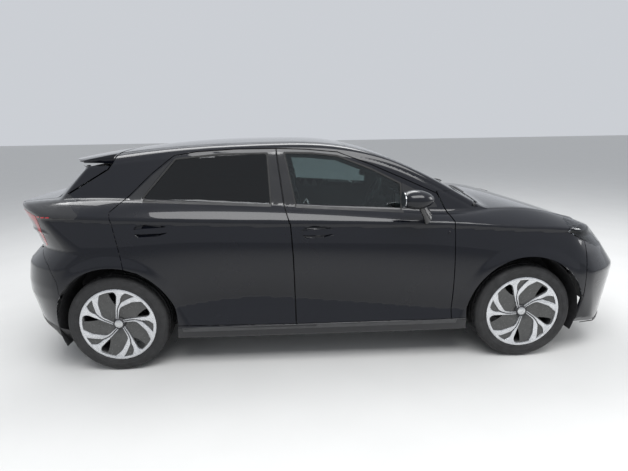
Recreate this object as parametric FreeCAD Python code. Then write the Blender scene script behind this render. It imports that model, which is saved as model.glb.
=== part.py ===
# Five-door battery-electric hatchback at full size.
# Frame: +X forward, +Y to the car's left, +Z up, origin on the ground below the middle of the body.
# The outer skin is one closed form, made twice over: side sections lofted along X, trimmed by plan outlines
# lofted along Z. Every panel is cut from that form and from smaller copies of it, so panels stay flush.
# All sizes are millimetres.
import FreeCAD, Part
import math
import os

V = FreeCAD.Vector

# Driving dimensions
LENGTH = 4287.0
WHEELBASE = 2705.0
FRONT_AXLE_X = 1301.0
REAR_AXLE_X = FRONT_AXLE_X - WHEELBASE
TRACK = 1550.0
TYRE_R = 330.0
TYRE_WIDTH = 235.0
RIM_INNER_R = 222.0
RIM_SEAT_R = 233.0
RIM_EDGE_R = 249.0
SPOKE_THICK = 9.0
FACE_THICK = 7.0
ARCH_R = 393.0
ARCH_LIFT = 8.0
PANEL_GAP = 6.0
SKIN = 12.0
GLASS_RECESS = 3.0
GLASS_THICK = 5.0
DOOR_INNER_Y = 785.0
FLOOR_Z = 300.0
FLOOR_THICK = 25.0
UNDERBODY_Z = 195.0
JACK_PAD_X = 500.0
JACK_PAD_Y = 800.0
JACK_PAD_Z = 188.0
BATTERY_HEIGHT = 125.0
PANEL_THICK = 24.0
ROOF_THICK = 38.0
GATE_HINGE_X = -1415.0
GATE_HINGE_Z = 1427.0
BONNET_HINGE_X = 1000.0
BONNET_HINGE_Z = 1036.0
BONNET_SWING = 16.0
DOOR_HINGE_Y = -885.0
DOOR_HINGE_Z = (640.0, 880.0)
FRONT_HINGE_X = 768.0
REAR_HINGE_X = -288.0
TOP_BALL_Y = 612.0
TOP_BALL_Z = 842.0
LOW_BALL_Y = 720.0
LOW_BALL_Z = 225.0
HUB_BORE_R = 31.0
PIN_R = 4.5
RUNNING = 0.06
SEAT = 0.3
OVERLAP = 60.0

HALF_LENGTH = LENGTH / 2
WHEEL_Y = TRACK / 2

# Side sections of the lower body, half widths y and heights z of each corner.
# x, y_sill, z_sill, y_low, z_low, y_mid, z_mid, y_shoulder, z_shoulder, y_deck, z_deck, z_crown
LOWER_STATIONS = [
    (2250, 800, 250, 868, 400, 885, 560, 800, 620, 620, 670, 715),
    (1800, 850, 262, 893, 415, 902, 670, 848, 850, 690, 885, 898),
    (1303, 880, 275, 900, 400, 917, 735, 888, 920, 705, 1018, 1034),
    (850, 900, 298, 882, 372, 904, 760, 884, 952, 780, 1012, 1086),
    (400, 903, 298, 866, 410, 901, 760, 882, 970, 795, 1040, 1110),
    (-50, 903, 298, 858, 455, 901, 760, 882, 984, 800, 1068, 1120),
    (-500, 903, 298, 860, 490, 902, 760, 884, 998, 800, 1094, 1136),
    (-950, 900, 298, 868, 450, 907, 765, 887, 1018, 795, 1120, 1150),
    (-1402, 880, 285, 902, 400, 918, 765, 890, 1042, 780, 1142, 1160),
    (-1850, 850, 270, 893, 400, 905, 745, 868, 1068, 735, 1138, 1146),
    (-2250, 815, 262, 872, 400, 880, 720, 818, 1082, 690, 1098, 1104),
]

# Sections of the glasshouse: the side glass line, the roof rail arc and the crowned roof.
# x, y_base, z_base, y_rail, z_rail, y_edge, z_edge, z_crown
UPPER_STATIONS = [
    (1230, 766, 850, 752, 895, 705, 940, 995),
    (957, 790, 930, 745, 1040, 700, 1085, 1130),
    (735, 805, 950, 722, 1165, 678, 1210, 1238),
    (414, 822, 950, 694, 1315, 640, 1362, 1380),
    (64, 845, 950, 672, 1405, 596, 1456, 1475),
    (-404, 851, 950, 667, 1428, 585, 1478, 1501),
    (-990, 848, 950, 660, 1408, 573, 1460, 1486),
    (-1385, 842, 950, 652, 1368, 558, 1424, 1449),
    (-1820, 830, 950, 640, 1295, 540, 1355, 1382),
    (-2100, 815, 950, 630, 1225, 525, 1290, 1318),
]

# Plan outlines of the lower body: where its ends are at each height, on the middle and 600 mm to the side.
# z, front_mid, front_side, rear_mid, rear_side
LOWER_PLAN = [
    (60, 2060, 1985, -1960, -1890),
    (232, 2095, 2020, -2040, -1975),
    (300, 2108, 2030, -2095, -2035),
    (520, 2136, 2065, -2138, -2088),
    (600, HALF_LENGTH, 2075, -HALF_LENGTH, -2086),
    (726, 2098, 1985, -2128, -2062),
    (830, 2040, 1890, -2045, -1955),
    (1092, 1960, 1800, -2118, -2050),
    (1300, 1960, 1800, -2118, -2050),
]

# Plan outlines of the glasshouse: the back glass leans forward up to the step below the roof spoiler.
UPPER_PLAN = [
    (800, 1450, 1400, -2235, -2165),
    (1120, 1450, 1400, -1905, -1835),
    (1345, 1450, 1400, -1655, -1592),
    (1352, 1450, 1400, -1830, -1615),
    (1650, 1450, 1400, -1830, -1615),
]


def line(a, b):
    return Part.LineSegment(a, b).toShape()


def arc(a, mid, b):
    return Part.Arc(a, mid, b).toShape()


def bulged(a, b, bulge):
    """Arc from a to b in a plane x = const that stands out from its chord by bulge."""
    middle = (a + b) * 0.5
    chord = b - a
    side = V(0, chord.z, -chord.y)
    side.normalize()
    return arc(a, middle + side * bulge, b)


def on_crown(a, rise, y):
    """Point over y on the arc that starts at a and is level, higher by rise, on the car's middle plane."""
    radius = (a.y * a.y + rise * rise) / (2 * rise)
    return V(a.x, y, a.z + rise - radius + math.sqrt(radius * radius - y * y))


def crown(a, rise, past):
    """That arc, from a to just past the middle plane."""
    return arc(a, on_crown(a, rise, a.y * 0.5), on_crown(a, rise, past))


def on_bow(x_side, y_side, x_mid, y, z):
    """Point on the plan arc that runs from the side point to the middle plane and meets it squarely."""
    depth = x_mid - x_side
    radius = (y_side * y_side + depth * depth) / (2 * abs(depth))
    drop = radius - math.sqrt(radius * radius - y * y)
    return V(x_mid - math.copysign(drop, depth), y, z)


def lower_section(row, inset):
    """Right-hand half of one section of the lower body."""
    x, y_sill, z_sill, y_low, z_low, y_mid, z_mid, y_sh, z_sh, y_deck, z_deck, z_crown = row
    floor = UNDERBODY_Z + inset
    past = OVERLAP + inset
    under = V(x, -(y_sill - 55 - inset), floor)
    sill = V(x, -(y_sill - inset), z_sill + inset * 0.5)
    low = V(x, -(y_low - inset), z_low)
    mid = V(x, -(y_mid - inset), z_mid)
    drop = V(x, -(y_sh - 5 - inset), z_sh - 34)
    shoulder = V(x, -(y_sh - inset), z_sh - inset * 0.4)
    deck = V(x, -(y_deck - inset * 0.4), z_deck - inset)
    return Part.Wire([
        line(V(x, past, floor), under),
        line(under, sill),
        line(sill, low),
        arc(low, mid, drop),
        line(drop, shoulder),
        bulged(shoulder, deck, -6.0),
        crown(deck, z_crown - z_deck, past),
        line(on_crown(deck, z_crown - z_deck, past), V(x, past, floor)),
    ])


def upper_section(row, inset):
    """Right-hand half of one section of the glasshouse."""
    x, y_base, z_base, y_rail, z_rail, y_edge, z_edge, z_crown = row
    past = OVERLAP + inset
    base = V(x, -(y_base - inset), z_base)
    rail = V(x, -(y_rail - inset), z_rail - inset * 0.4)
    edge = V(x, -(y_edge - inset * 0.5), z_edge - inset)
    return Part.Wire([
        line(V(x, past, z_base), base),
        line(base, rail),
        bulged(rail, edge, -11.0),
        crown(edge, z_crown - z_edge, past),
        line(on_crown(edge, z_crown - z_edge, past), V(x, past, z_base)),
    ])


def plan_outline(row, inset):
    """Right-hand half of one plan outline."""
    z, front_mid, front_side, rear_mid, rear_side = row
    fm, fs, rm, rs = front_mid - inset, front_side - inset, rear_mid + inset, rear_side + inset
    y_bow, y_corner, y_flank = 600.0, 750.0 - inset * 0.7, 950.0 - inset
    nose = on_bow(fs, y_bow, fm, OVERLAP + 100, z)
    tail = on_bow(rs, y_bow, rm, OVERLAP + 100, z)
    return Part.Wire([
        arc(nose, on_bow(fs, y_bow, fm, -300, z), V(fs, -y_bow, z)),
        arc(V(fs, -y_bow, z), V(fs - 105, -y_corner, z), V(fs - 600, -y_flank, z)),
        line(V(fs - 600, -y_flank, z), V(rs + 600, -y_flank, z)),
        arc(V(rs + 600, -y_flank, z), V(rs + 98, -y_corner, z), V(rs, -y_bow, z)),
        arc(V(rs, -y_bow, z), on_bow(rs, y_bow, rm, -300, z), tail),
        line(tail, nose),
    ])


def lower_form(inset=0.0):
    along = Part.makeLoft([lower_section(r, inset) for r in LOWER_STATIONS], True, False)
    around = Part.makeLoft([plan_outline(r, inset) for r in LOWER_PLAN], True, True)
    return along.common(around)


def upper_form(inset=0.0):
    along = Part.makeLoft([upper_section(r, inset) for r in UPPER_STATIONS], True, False)
    around = Part.makeLoft([plan_outline(r, inset) for r in UPPER_PLAN], True, True)
    return along.common(around)


def form(inset=0.0):
    """Right-hand half of the whole body, moved inward by a distance."""
    return lower_form(inset).fuse(upper_form(inset))


def prism_xz(points, y_from, y_to):
    """Straight prism across the car over an outline in the side view."""
    wire = Part.makePolygon([V(x, y_from, z) for x, z in points] + [V(points[0][0], y_from, points[0][1])])
    return Part.Face(wire).extrude(V(0, y_to - y_from, 0))


def prism_xy(points, z_from, z_to):
    """Upright prism over an outline in the plan."""
    wire = Part.makePolygon([V(x, y, z_from) for x, y in points] + [V(points[0][0], points[0][1], z_from)])
    return Part.Face(wire).extrude(V(0, 0, z_to - z_from))


def grown(points, by):
    """The same side-view outline moved outward by a distance, inward when it is negative."""
    wire = Part.makePolygon([V(x, 0, z) for x, z in points] + [V(points[0][0], 0, points[0][1])])
    face = Part.Face(wire)
    return face.makeOffset2D(by, 2, False, False, True)


def grown_prism(points, by, y_from, y_to):
    """Prism across the car over a grown outline."""
    face = grown(points, by)
    face.translate(V(0, y_from, 0))
    return face.extrude(V(0, y_to - y_from, 0))


def box(x0, x1, y0, y1, z0, z1):
    return Part.makeBox(x1 - x0, y1 - y0, z1 - z0, V(x0, y0, z0))


def tube_y(x, z, radius, y0, y1):
    return Part.makeCylinder(radius, y1 - y0, V(x, y0, z), V(0, 1, 0))


def mirrored(shape):
    return shape.mirror(V(0, 0, 0), V(0, 1, 0))


def one(shape):
    """The largest solid of a shape, so that slivers from a cut are left out."""
    solids = sorted(shape.Solids, key=lambda s: s.Volume)
    return solids[-1]


def whole(shape):
    """The largest solid cut off at the middle plane and joined to its mirror image."""
    half = one(shape.cut(box(-2500, 2500, 0, 300, 0, 1700)))
    return one(half.fuse(mirrored(half)))


# Side-view outlines of the right-hand openings and panels
FRONT_DOOR = [
    (806, 308), (803, 860), (800, 964), (764, 1030), (716, 1130), (500, 1228), (285, 1322), (64, 1408),
    (-140, 1429), (-334, 1437), (-289, 1085), (-250, 971), (-237, 768), (-230, 308),
]
REAR_DOOR = [
    (-238, 308), (-245, 768), (-258, 971), (-297, 1085), (-342, 1437), (-600, 1437), (-860, 1424), (-1000, 1404),
    (-1144, 1291), (-1304, 1138), (-1376, 1073), (-1334, 881), (-1306, 716), (-1230, 694), (-1160, 647),
    (-1100, 588), (-1060, 527), (-1030, 460), (-1014, 390), (-1008, 318),
]
FRONT_GLASS = [(-215, 1083), (-283, 1409), (-110, 1404), (62, 1383), (285, 1295), (472, 1200), (468, 1036)]
REAR_GLASS = [(-380, 1092), (-400, 1407), (-700, 1406), (-990, 1381), (-1190, 1150), (-1180, 1136)]
HEADLAMP = [(1560, 880), (1738, 786), (1829, 750), (2100, 716), (2100, 790), (1925, 815), (1830, 880), (1720, 915)]
TAIL_LAMP = [
    (-2250, 1151), (-1725, 1151), (-1672, 1143), (-1564, 1062), (-1586, 1040), (-1859, 1036), (-1880, 940),
    (-1908, 827), (-2250, 790),
]
TAILGATE_TOP = [(-1385, 1600), (-1385, 1422), (-1413, 1363), (-1434, 1330), (-1725, 1157), (-2300, 1157), (-2300, 1600)]
REAR_BUMPER = [(-1908, 815), (-1800, 745), (-1745, 640), (-1700, 150), (-2300, 150), (-2300, 790)]
FRONT_BUMPER = [(1695, 150), (1695, 790), (1829, 744), (2100, 710), (2100, 830), (1990, 860), (2300, 860), (2300, 150)]
FENDER = [(812, 308), (809, 860), (806, 968), (771, 1034), (722, 1140), (1000, 1140), (1689, 1000), (1689, 308)]

# Plan outlines of the upper panels, right-hand halves
HANDLES = {"front": (-80, 920), "rear": (-1125, 957)}
HANDLE_CUP = [(-118, 0), (-92, 30), (-30, 42), (60, 33), (118, 18), (95, -18), (40, -34), (-80, -38)]
HANDLE_BAR = [(-130, 9), (-60, 14), (60, 18), (130, 27), (130, -6), (60, -16), (-60, -18), (-130, -12)]
ROOF = [(120, 590), (-404, 576), (-990, 562), (-1372, 548)]
WINDSCREEN = [(130, 588), (414, 624), (735, 662), (957, 684), (996, 640), (1018, 1)]
BONNET = [(1073, 0), (1041, 640), (985, 738), (1303, 712), (1600, 690), (1750, 655), (1850, 560), (1925, 420), (1990, 0)]


def right_half(points):
    """Closed plan outline between a side line and the middle plane."""
    return [(points[0][0], OVERLAP)] + [(x, -y) for x, y in points if y] + [(points[-1][0], OVERLAP)]


def bonnet_outline(by=0.0):
    points = [(BONNET[-1][0], OVERLAP + 40), (BONNET[0][0], OVERLAP + 40)] + [(x, -y) for x, y in BONNET]
    wire = Part.makePolygon([V(x, y, 0) for x, y in points] + [V(points[0][0], points[0][1], 0)])
    face = Part.Face(wire)
    return face if by == 0 else face.makeOffset2D(by, 2, False, False, True)


OUTER = form()
UPPER = upper_form()
GLASS_FACE = upper_form(GLASS_RECESS)
GLASS_BACK = upper_form(GLASS_RECESS + GLASS_THICK)
AT_SKIN = form(SKIN)
AT_PANEL = form(PANEL_THICK)

# The doors end inside at an upright plane below the windows and follow the glass above it.
BELOW_BELT = box(-2400, 1500, -1000, OVERLAP + 200, 850, 1009)
DOOR_BACK = upper_form(36).cut(BELOW_BELT).fuse(box(-1900, 1100, -DOOR_INNER_Y, OVERLAP, 200, 1010))
FRAME_FACE = upper_form(48).cut(BELOW_BELT).fuse(box(-1900, 1100, -DOOR_INNER_Y + 12, OVERLAP, 200, 1010))
CABIN = upper_form(78).fuse(box(-1165, 1000, -741, OVERLAP, FLOOR_Z + FLOOR_THICK, 1000))
CABIN = CABIN.fuse(box(-2000, -1160, -575, OVERLAP, 480, 1010))

RIGHT = (-1100, -300)
FRONT_ARCH = tube_y(FRONT_AXLE_X, TYRE_R + ARCH_LIFT, ARCH_R, -1100, -470)
REAR_ARCH = tube_y(REAR_AXLE_X, TYRE_R + ARCH_LIFT, ARCH_R, -1100, -610)
TAILGATE_ZONE = prism_xz(TAILGATE_TOP, -1100, OVERLAP).fuse(box(-2300, -1700, -640, OVERLAP, 742, 1170))
TAILGATE_CUT = grown_prism(TAILGATE_TOP, 10, -1100, OVERLAP).fuse(box(-2300, -1694, -646, OVERLAP, 736, 1170))

parts = {}


def door_hinge(x, z):
    """Fixed bracket with its pin, and the pocket and pin hole that it needs in the door."""
    y = DOOR_HINGE_Y
    pin = Part.makeCylinder(PIN_R, 64, V(x, y, z - 32))
    bracket = Part.makeCylinder(8, 28, V(x, y, z - 14))
    bracket = bracket.fuse(box(x - 5, x + 5, y, y + 66, z - 14, z + 14))
    bracket = bracket.fuse(box(x - 5, x + 34, y + 42, y + 66, z - 14, z + 14))
    pocket = Part.makeCylinder(9.5, 36, V(x, y, z - 18))
    pocket = pocket.fuse(box(x - 14, x + 70, y - 2.5, y + 130, z - 18, z + 18))
    hole = Part.makeCylinder(PIN_R + RUNNING, 66, V(x, y, z - 33))
    return bracket.fuse(pin), pocket.fuse(hole)


def make_door(outline, glass, hinge_x):
    skin = OUTER.common(prism_xz(outline, *RIGHT)).cut(AT_SKIN)
    inner = grown_prism(outline, -25, *RIGHT)
    deep = AT_SKIN.common(inner).cut(DOOR_BACK)
    window = prism_xz(glass, *RIGHT)
    door = skin.fuse(deep).cut(window)
    for z in DOOR_HINGE_Z:
        door = door.cut(door_hinge(hinge_x, z)[1])
    return one(door)


def make_glass(outline, side_range):
    return one(GLASS_FACE.common(prism_xz(outline, *side_range)).cut(GLASS_BACK))


front_door = make_door(FRONT_DOOR, FRONT_GLASS, FRONT_HINGE_X)
rear_door = make_door(REAR_DOOR, REAR_GLASS, REAR_HINGE_X)
rear_door = one(rear_door.cut(REAR_ARCH))


def with_handle(door, place):
    """The door with a cup in its skin and the handle's bar left standing across it."""
    cup, bar = ([(place[0] + x, place[1] + z) for x, z in outline] for outline in (HANDLE_CUP, HANDLE_BAR))
    return one(door.cut(prism_xz(cup, *RIGHT).cut(prism_xz(bar, *RIGHT)).cut(AT_SKIN)))


parts["door_front_right"] = with_handle(front_door, HANDLES["front"])
parts["door_rear_right"] = with_handle(rear_door, HANDLES["rear"])
parts["door_glass_front_right"] = make_glass(FRONT_GLASS, RIGHT)
parts["door_glass_rear_right"] = make_glass(REAR_GLASS, RIGHT)

# Door mirror on the right-hand front door: a foot on the skin and a rounded housing
mirror_foot = Part.makeBox(62, 95, 34, V(560, -925, 985), V(0, 0, 1))
mirror_foot = mirror_foot.cut(OUTER)
housing = Part.makeLoft([
    Part.Wire([Part.Circle(V(x, y, z), V(1, 0, 0), radius).toShape()])
    for x, y, z, radius in ((448, -958, 1135, 50), (478, -960, 1136, 55), (520, -962, 1136, 57), (560, -960, 1130, 51),
                            (590, -958, 1122, 41), (610, -955, 1116, 30), (620, -952, 1112, 18))
], True, True)
stretch = FreeCAD.Matrix()
stretch.scale(V(1, 1.75, 1))
stretch.move(V(0, 718, 0))
housing = housing.transformGeometry(stretch)
arm = box(545, 610, -915, -868, 1000, 1120)
parts["mirror_right"] = one(housing.fuse(arm).fuse(mirror_foot).cut(OUTER))

# Body side: sill, pillars, roof rail and rear quarter
side = OUTER.common(box(-1905, 985, -1100, -560, 190, 1600))
side = side.cut(CABIN)
side = side.cut(box(-1165, 1100, -741 - SEAT, 0, 150, FLOOR_Z + FLOOR_THICK))
side = side.cut(box(-2100, -1165, -575 - SEAT, 0, 150, 481))
roof_cut = prism_xy(right_half([(x, y + SEAT) for x, y in [(126, 591)] + ROOF[1:] + [(-1500, 546)]]), 1000, 1700)
screen_cut = prism_xy(right_half([(x, y + SEAT) for x, y in WINDSCREEN[:4]] + [(1100, 700)]), 850, 1700)
side = side.cut(roof_cut).cut(screen_cut).cut(TAILGATE_CUT)
for outline in (FRONT_DOOR, REAR_DOOR):
    side = side.cut(grown_prism(outline, PANEL_GAP, *RIGHT).cut(AT_PANEL))
    side = side.cut(grown_prism(outline, -13, *RIGHT).cut(FRAME_FACE))
    side = side.cut(grown_prism(outline, -55, *RIGHT))
side = side.cut(FRONT_ARCH).cut(REAR_ARCH)
side = side.cut(grown_prism(FENDER, PANEL_GAP, -1100, 0))
side = side.cut(grown_prism(TAIL_LAMP, SEAT, *RIGHT)).cut(grown_prism(REAR_BUMPER, 3, -1100, 0))
for hinge_x, reach, depth, top in ((FRONT_HINGE_X, 46, 45, 960), (REAR_HINGE_X, 60, 57, 1000)):
    side = side.cut(box(hinge_x - 30, hinge_x + reach, -1100, DOOR_HINGE_Y + depth, 308 - PANEL_GAP, top))
    for z in DOOR_HINGE_Z:
        side = side.fuse(door_hinge(hinge_x, z)[0])
side = side.cut(box(REAR_AXLE_X - 60, REAR_AXLE_X + 60, -640, -560, 150, 260))
side = side.fuse(box(JACK_PAD_X - 60, JACK_PAD_X + 60, -JACK_PAD_Y - 30, -JACK_PAD_Y + 30, JACK_PAD_Z, UNDERBODY_Z + 10))
parts["body_side_right"] = one(side)

roof_zone = prism_xy(right_half(ROOF), 1000, 1700)
roof_panel = whole(UPPER.common(roof_zone).cut(upper_form(ROOF_THICK)))
for y in (-325, 315):
    ring = tube_y(GATE_HINGE_X, GATE_HINGE_Z, 7, y, y + 10)
    ring = ring.fuse(tube_y(GATE_HINGE_X, GATE_HINGE_Z, PIN_R, y - 14, y + 24))
    ring = ring.fuse(box(GATE_HINGE_X - 5, GATE_HINGE_X + 5, y, y + 10, GATE_HINGE_Z - 45, GATE_HINGE_Z))
    ring = ring.fuse(box(GATE_HINGE_X - 5, GATE_HINGE_X + 60, y, y + 10, GATE_HINGE_Z - 45, GATE_HINGE_Z - 35))
    ring = ring.fuse(box(GATE_HINGE_X + 44, GATE_HINGE_X + 60, y, y + 10, GATE_HINGE_Z - 45, GATE_HINGE_Z - 5))
    roof_panel = roof_panel.fuse(ring)
parts["roof_panel"] = one(roof_panel)
screen_zone = prism_xy(right_half(WINDSCREEN), 850, 1700)
parts["windscreen"] = whole(GLASS_FACE.common(screen_zone).cut(GLASS_BACK))

bonnet_zone = bonnet_outline().extrude(V(0, 0, 700))
bonnet_zone.translate(V(0, 0, 700))
bonnet_cut = bonnet_outline(PANEL_GAP).extrude(V(0, 0, 900))
bonnet_cut.translate(V(0, 0, 600))
bonnet_swing = bonnet_cut.copy()
bonnet_swing.translate(V(-BONNET_SWING, 0, 0))
bonnet_swing = bonnet_swing.common(box(900, BONNET_HINGE_X + 80, -760, OVERLAP, 900, 1200))
bonnet = OUTER.common(bonnet_zone).cut(AT_PANEL)
bonnet = bonnet.cut(box(600, 1300, -1000, OVERLAP, 0, 900))
lug = box(BONNET_HINGE_X - 14, BONNET_HINGE_X + 60, -705, -675, BONNET_HINGE_Z - 12, BONNET_HINGE_Z + 12)
bonnet = bonnet.fuse(lug.common(AT_SKIN))
bonnet = bonnet.cut(box(BONNET_HINGE_X - 70, BONNET_HINGE_X + 14, -696, -684, 900, BONNET_HINGE_Z + 12))
bonnet = bonnet.cut(tube_y(BONNET_HINGE_X, BONNET_HINGE_Z, PIN_R + RUNNING, -705, -675))
parts["bonnet"] = whole(bonnet)

fender = OUTER.common(prism_xz(FENDER, -1100, -650)).cut(AT_SKIN).cut(screen_cut)
fender = fender.fuse(box(FRONT_AXLE_X - 20, FRONT_AXLE_X + 20, -925, -640 - SEAT, 846, 866).common(AT_SKIN))
fender = fender.cut(bonnet_cut).cut(bonnet_swing).cut(grown_prism(HEADLAMP, 4, *RIGHT)).cut(FRONT_ARCH)
parts["fender_right"] = one(fender)

lamp_back = lower_form(85)
parts["headlamp_right"] = one(OUTER.common(prism_xz(HEADLAMP, -1100, -440)).cut(lamp_back).cut(bonnet_cut))
parts["tail_lamp_right"] = one(OUTER.common(prism_xz(TAIL_LAMP, -1100, -652)).cut(lamp_back))

lamp_cuts = grown_prism(HEADLAMP, SEAT, -1100, -440 + SEAT)
nose = OUTER.common(box(1695, 2300, -1100, OVERLAP, 150, 1000)).cut(AT_PANEL)
nose = nose.cut(box(1600, 2085, -1000, OVERLAP, 150, 224))
nose = nose.cut(bonnet_cut).cut(lamp_cuts).cut(FRONT_ARCH)
parts["front_bumper"] = whole(nose.fuse(box(1975 + SEAT, 2125, -430, -350, 440, 510).common(AT_PANEL)))
tail = OUTER.common(prism_xz(REAR_BUMPER, -1100, OVERLAP)).cut(AT_PANEL).cut(TAILGATE_CUT)
tail = tail.cut(box(-2040, -1600, -1000, OVERLAP, 150, 224))
tail = tail.cut(REAR_ARCH)
parts["rear_bumper"] = whole(tail.fuse(box(-2130, -2010 - SEAT, -500, -420, 500, 560).common(AT_PANEL)))

gate = OUTER.common(TAILGATE_ZONE).cut(lamp_back).cut(CABIN)
gate = gate.cut(box(-1700, -1000, -1100, OVERLAP, 150, 1157))
gate = gate.cut(box(GATE_HINGE_X - 8, GATE_HINGE_X + 70, -328, -312, GATE_HINGE_Z - 140, GATE_HINGE_Z + 5))
gate = gate.cut(tube_y(GATE_HINGE_X, GATE_HINGE_Z, 8.5, -328, -312))
gate = gate.cut(tube_y(GATE_HINGE_X, GATE_HINGE_Z, PIN_R + RUNNING, -340, -300))
rear_window = box(-1950, -1520, -545, OVERLAP, 1185, 1332)
parts["tailgate"] = whole(gate.cut(box(-1950, -1480, -545, OVERLAP, 1185, 1332)))
parts["tailgate_glass"] = whole(GLASS_FACE.common(rear_window).cut(GLASS_BACK))

# Floor, seat riser and boot floor between the sills
floor = box(-1165, 940, -741, 741, FLOOR_Z, FLOOR_Z + FLOOR_THICK)
floor = floor.fuse(box(-1190, -1165, -575, 575, FLOOR_Z, 480))
floor = floor.fuse(box(-1900, -1165, -575, 575, 455, 480))
parts["floor_pan"] = floor.cut(FRONT_ARCH).cut(mirrored(FRONT_ARCH)).cut(REAR_ARCH).cut(mirrored(REAR_ARCH))
parts["floor_pan"] = one(parts["floor_pan"])
parts["battery_pack"] = box(-960, 760, -640, 640, FLOOR_Z - BATTERY_HEIGHT, FLOOR_Z - SEAT)
parts["drive_motor"] = box(REAR_AXLE_X - 155 + SEAT, REAR_AXLE_X + 150 - SEAT, -230, 230, 235, 440)

def king_pin(sign, radius, below, above, at_top):
    """Round pin on the steering axis, about its upper or its lower joint."""
    low = V(FRONT_AXLE_X, LOW_BALL_Y * sign, LOW_BALL_Z)
    top = V(FRONT_AXLE_X, TOP_BALL_Y * sign, TOP_BALL_Z)
    along = top - low
    along.normalize()
    start = (top if at_top else low) + along * below
    return Part.makeCylinder(radius, above - below, start, along)


# Front structure: bulkhead, side rails, strut towers, end beam and lower arms
bulkhead = box(940, 965, -700, 700, FLOOR_Z, 985)
bulkhead = bulkhead.fuse(box(880, 1010, -650, 650, 925, 985))
front = bulkhead
for sign in (-1, 1):
    def span(inner, outer_y):
        return sorted((inner * sign, outer_y * sign))

    front = front.fuse(box(960, 1960, *span(350, 430), 430, 520))
    front = front.fuse(box(FRONT_AXLE_X - 70, FRONT_AXLE_X + 70, *span(350, 430), 500, 872))
    front = front.fuse(box(FRONT_AXLE_X - 70, FRONT_AXLE_X + 70, *span(350, 640), TOP_BALL_Z, 872))
    front = front.cut(king_pin(sign, 18 + RUNNING, -30, 60, True))
    front = front.fuse(box(FRONT_AXLE_X - 60, FRONT_AXLE_X + 60, *span(300, 430), 200, 440))
    front = front.fuse(box(FRONT_AXLE_X - 18, FRONT_AXLE_X + 18, *span(400, LOW_BALL_Y + 15), 196, 212))
    front = front.fuse(king_pin(sign, 12, -22, 22, False))
    pin = box(BONNET_HINGE_X - 8, BONNET_HINGE_X + 6, *span(685, 695), 945, BONNET_HINGE_Z)
    pin = pin.fuse(tube_y(BONNET_HINGE_X, BONNET_HINGE_Z, 8, *span(685, 695)))
    pin = pin.fuse(tube_y(BONNET_HINGE_X, BONNET_HINGE_Z, PIN_R, *span(676, 704)))
    front = front.fuse(pin).fuse(box(960, 1010, *span(600, 700), 945, 975))
front = front.fuse(box(1940, 1975, -560, 560, 425, 525))
front = front.fuse(box(FRONT_AXLE_X - 60, FRONT_AXLE_X + 60, -430, 430, 200, 260))
front = front.cut(FRONT_ARCH.common(box(800, 1000, -1100, 0, 0, 1000)))
front = front.cut(mirrored(FRONT_ARCH).common(box(800, 1000, 0, 1100, 0, 1000)))
parts["front_frame"] = one(front)

# Rear structure: side rails, cross members, arms and hub carriers
rear = box(REAR_AXLE_X - 210, REAR_AXLE_X - 155, -520, 520, 300, 380)
rear = rear.fuse(box(REAR_AXLE_X + 150, REAR_AXLE_X + 205, -520, 520, 300, 380))
rear = rear.fuse(box(-2010, -1975, -620, 620, 480, 580))
for sign in (-1, 1):
    y0, y1 = sorted((430 * sign, 500 * sign))
    rear = rear.fuse(box(-1990, -1190 - SEAT, y0, y1, 380, 455 - SEAT))
    y0, y1 = sorted((480 * sign, 690 * sign))
    rear = rear.fuse(box(REAR_AXLE_X - 35, REAR_AXLE_X + 35, y0, y1, 215, 245))
    y0, y1 = sorted((470 * sign, 530 * sign))
    rear = rear.fuse(box(REAR_AXLE_X - 210, REAR_AXLE_X + 205, y0, y1, 300, 390))
    rear = rear.fuse(box(REAR_AXLE_X - 35, REAR_AXLE_X + 35, y0, y1, 215, 310))
    y0, y1 = sorted((655 * sign, 690 * sign))
    rear = rear.fuse(box(REAR_AXLE_X - 60, REAR_AXLE_X + 60, y0, y1, 215, 440))
    y0, y1 = sorted((670 * sign, 830 * sign))
    rear = rear.fuse(tube_y(REAR_AXLE_X, TYRE_R, HUB_BORE_R - RUNNING, y0, y1))
parts["rear_frame"] = one(rear)

# Front knuckle with its stub axle and strut, turning about an upright axis
knuckle = box(FRONT_AXLE_X - 48, FRONT_AXLE_X + 48, -700, -664, 222, 440)
knuckle = knuckle.fuse(box(FRONT_AXLE_X - 30, FRONT_AXLE_X + 30, -738, -690, 222, 262))
knuckle = knuckle.cut(king_pin(-1, 12 + RUNNING, -40, 60, False))
knuckle = knuckle.fuse(tube_y(FRONT_AXLE_X, TYRE_R, HUB_BORE_R - RUNNING, -830, -690))
knuckle = knuckle.fuse(box(FRONT_AXLE_X - 22, FRONT_AXLE_X + 22, -670, -594, 396, 440))
knuckle = knuckle.fuse(Part.makeCylinder(20, TOP_BALL_Z - 400, V(FRONT_AXLE_X, -TOP_BALL_Y, 400)))
knuckle = knuckle.cut(box(FRONT_AXLE_X - 60, FRONT_AXLE_X + 60, -700, -560, TOP_BALL_Z - 12, 900))
parts["knuckle_right"] = one(knuckle.fuse(king_pin(-1, 18, -30, 26, True)))


# Outlines on the wheel's face for a spoke that points along u: a thin branch straight to the rim, a wide blade that
# sweeps off it and the opening behind them. Two numbers are a corner, four are an arc's middle and its end.
THIN_BRANCH = [
    (30, -25), (192, -30), (213, -39, 222, -56), (234, -50), (239, -12, 236, 24), (223, 25), (204, 7, 186, -1),
    (155, -3), (124, -14, 90, -20), (30, -16),
]
WIDE_BLADE = [(30, -13), (90, -15), (168, 14, 220, 88), (196, 136), (186, 134), (157, 55, 90, -5), (30, -6)]
OPENING = [(127, -33), (158, -61, 203, -83), (217, -55, 213, -40), (160, -32)]


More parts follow.
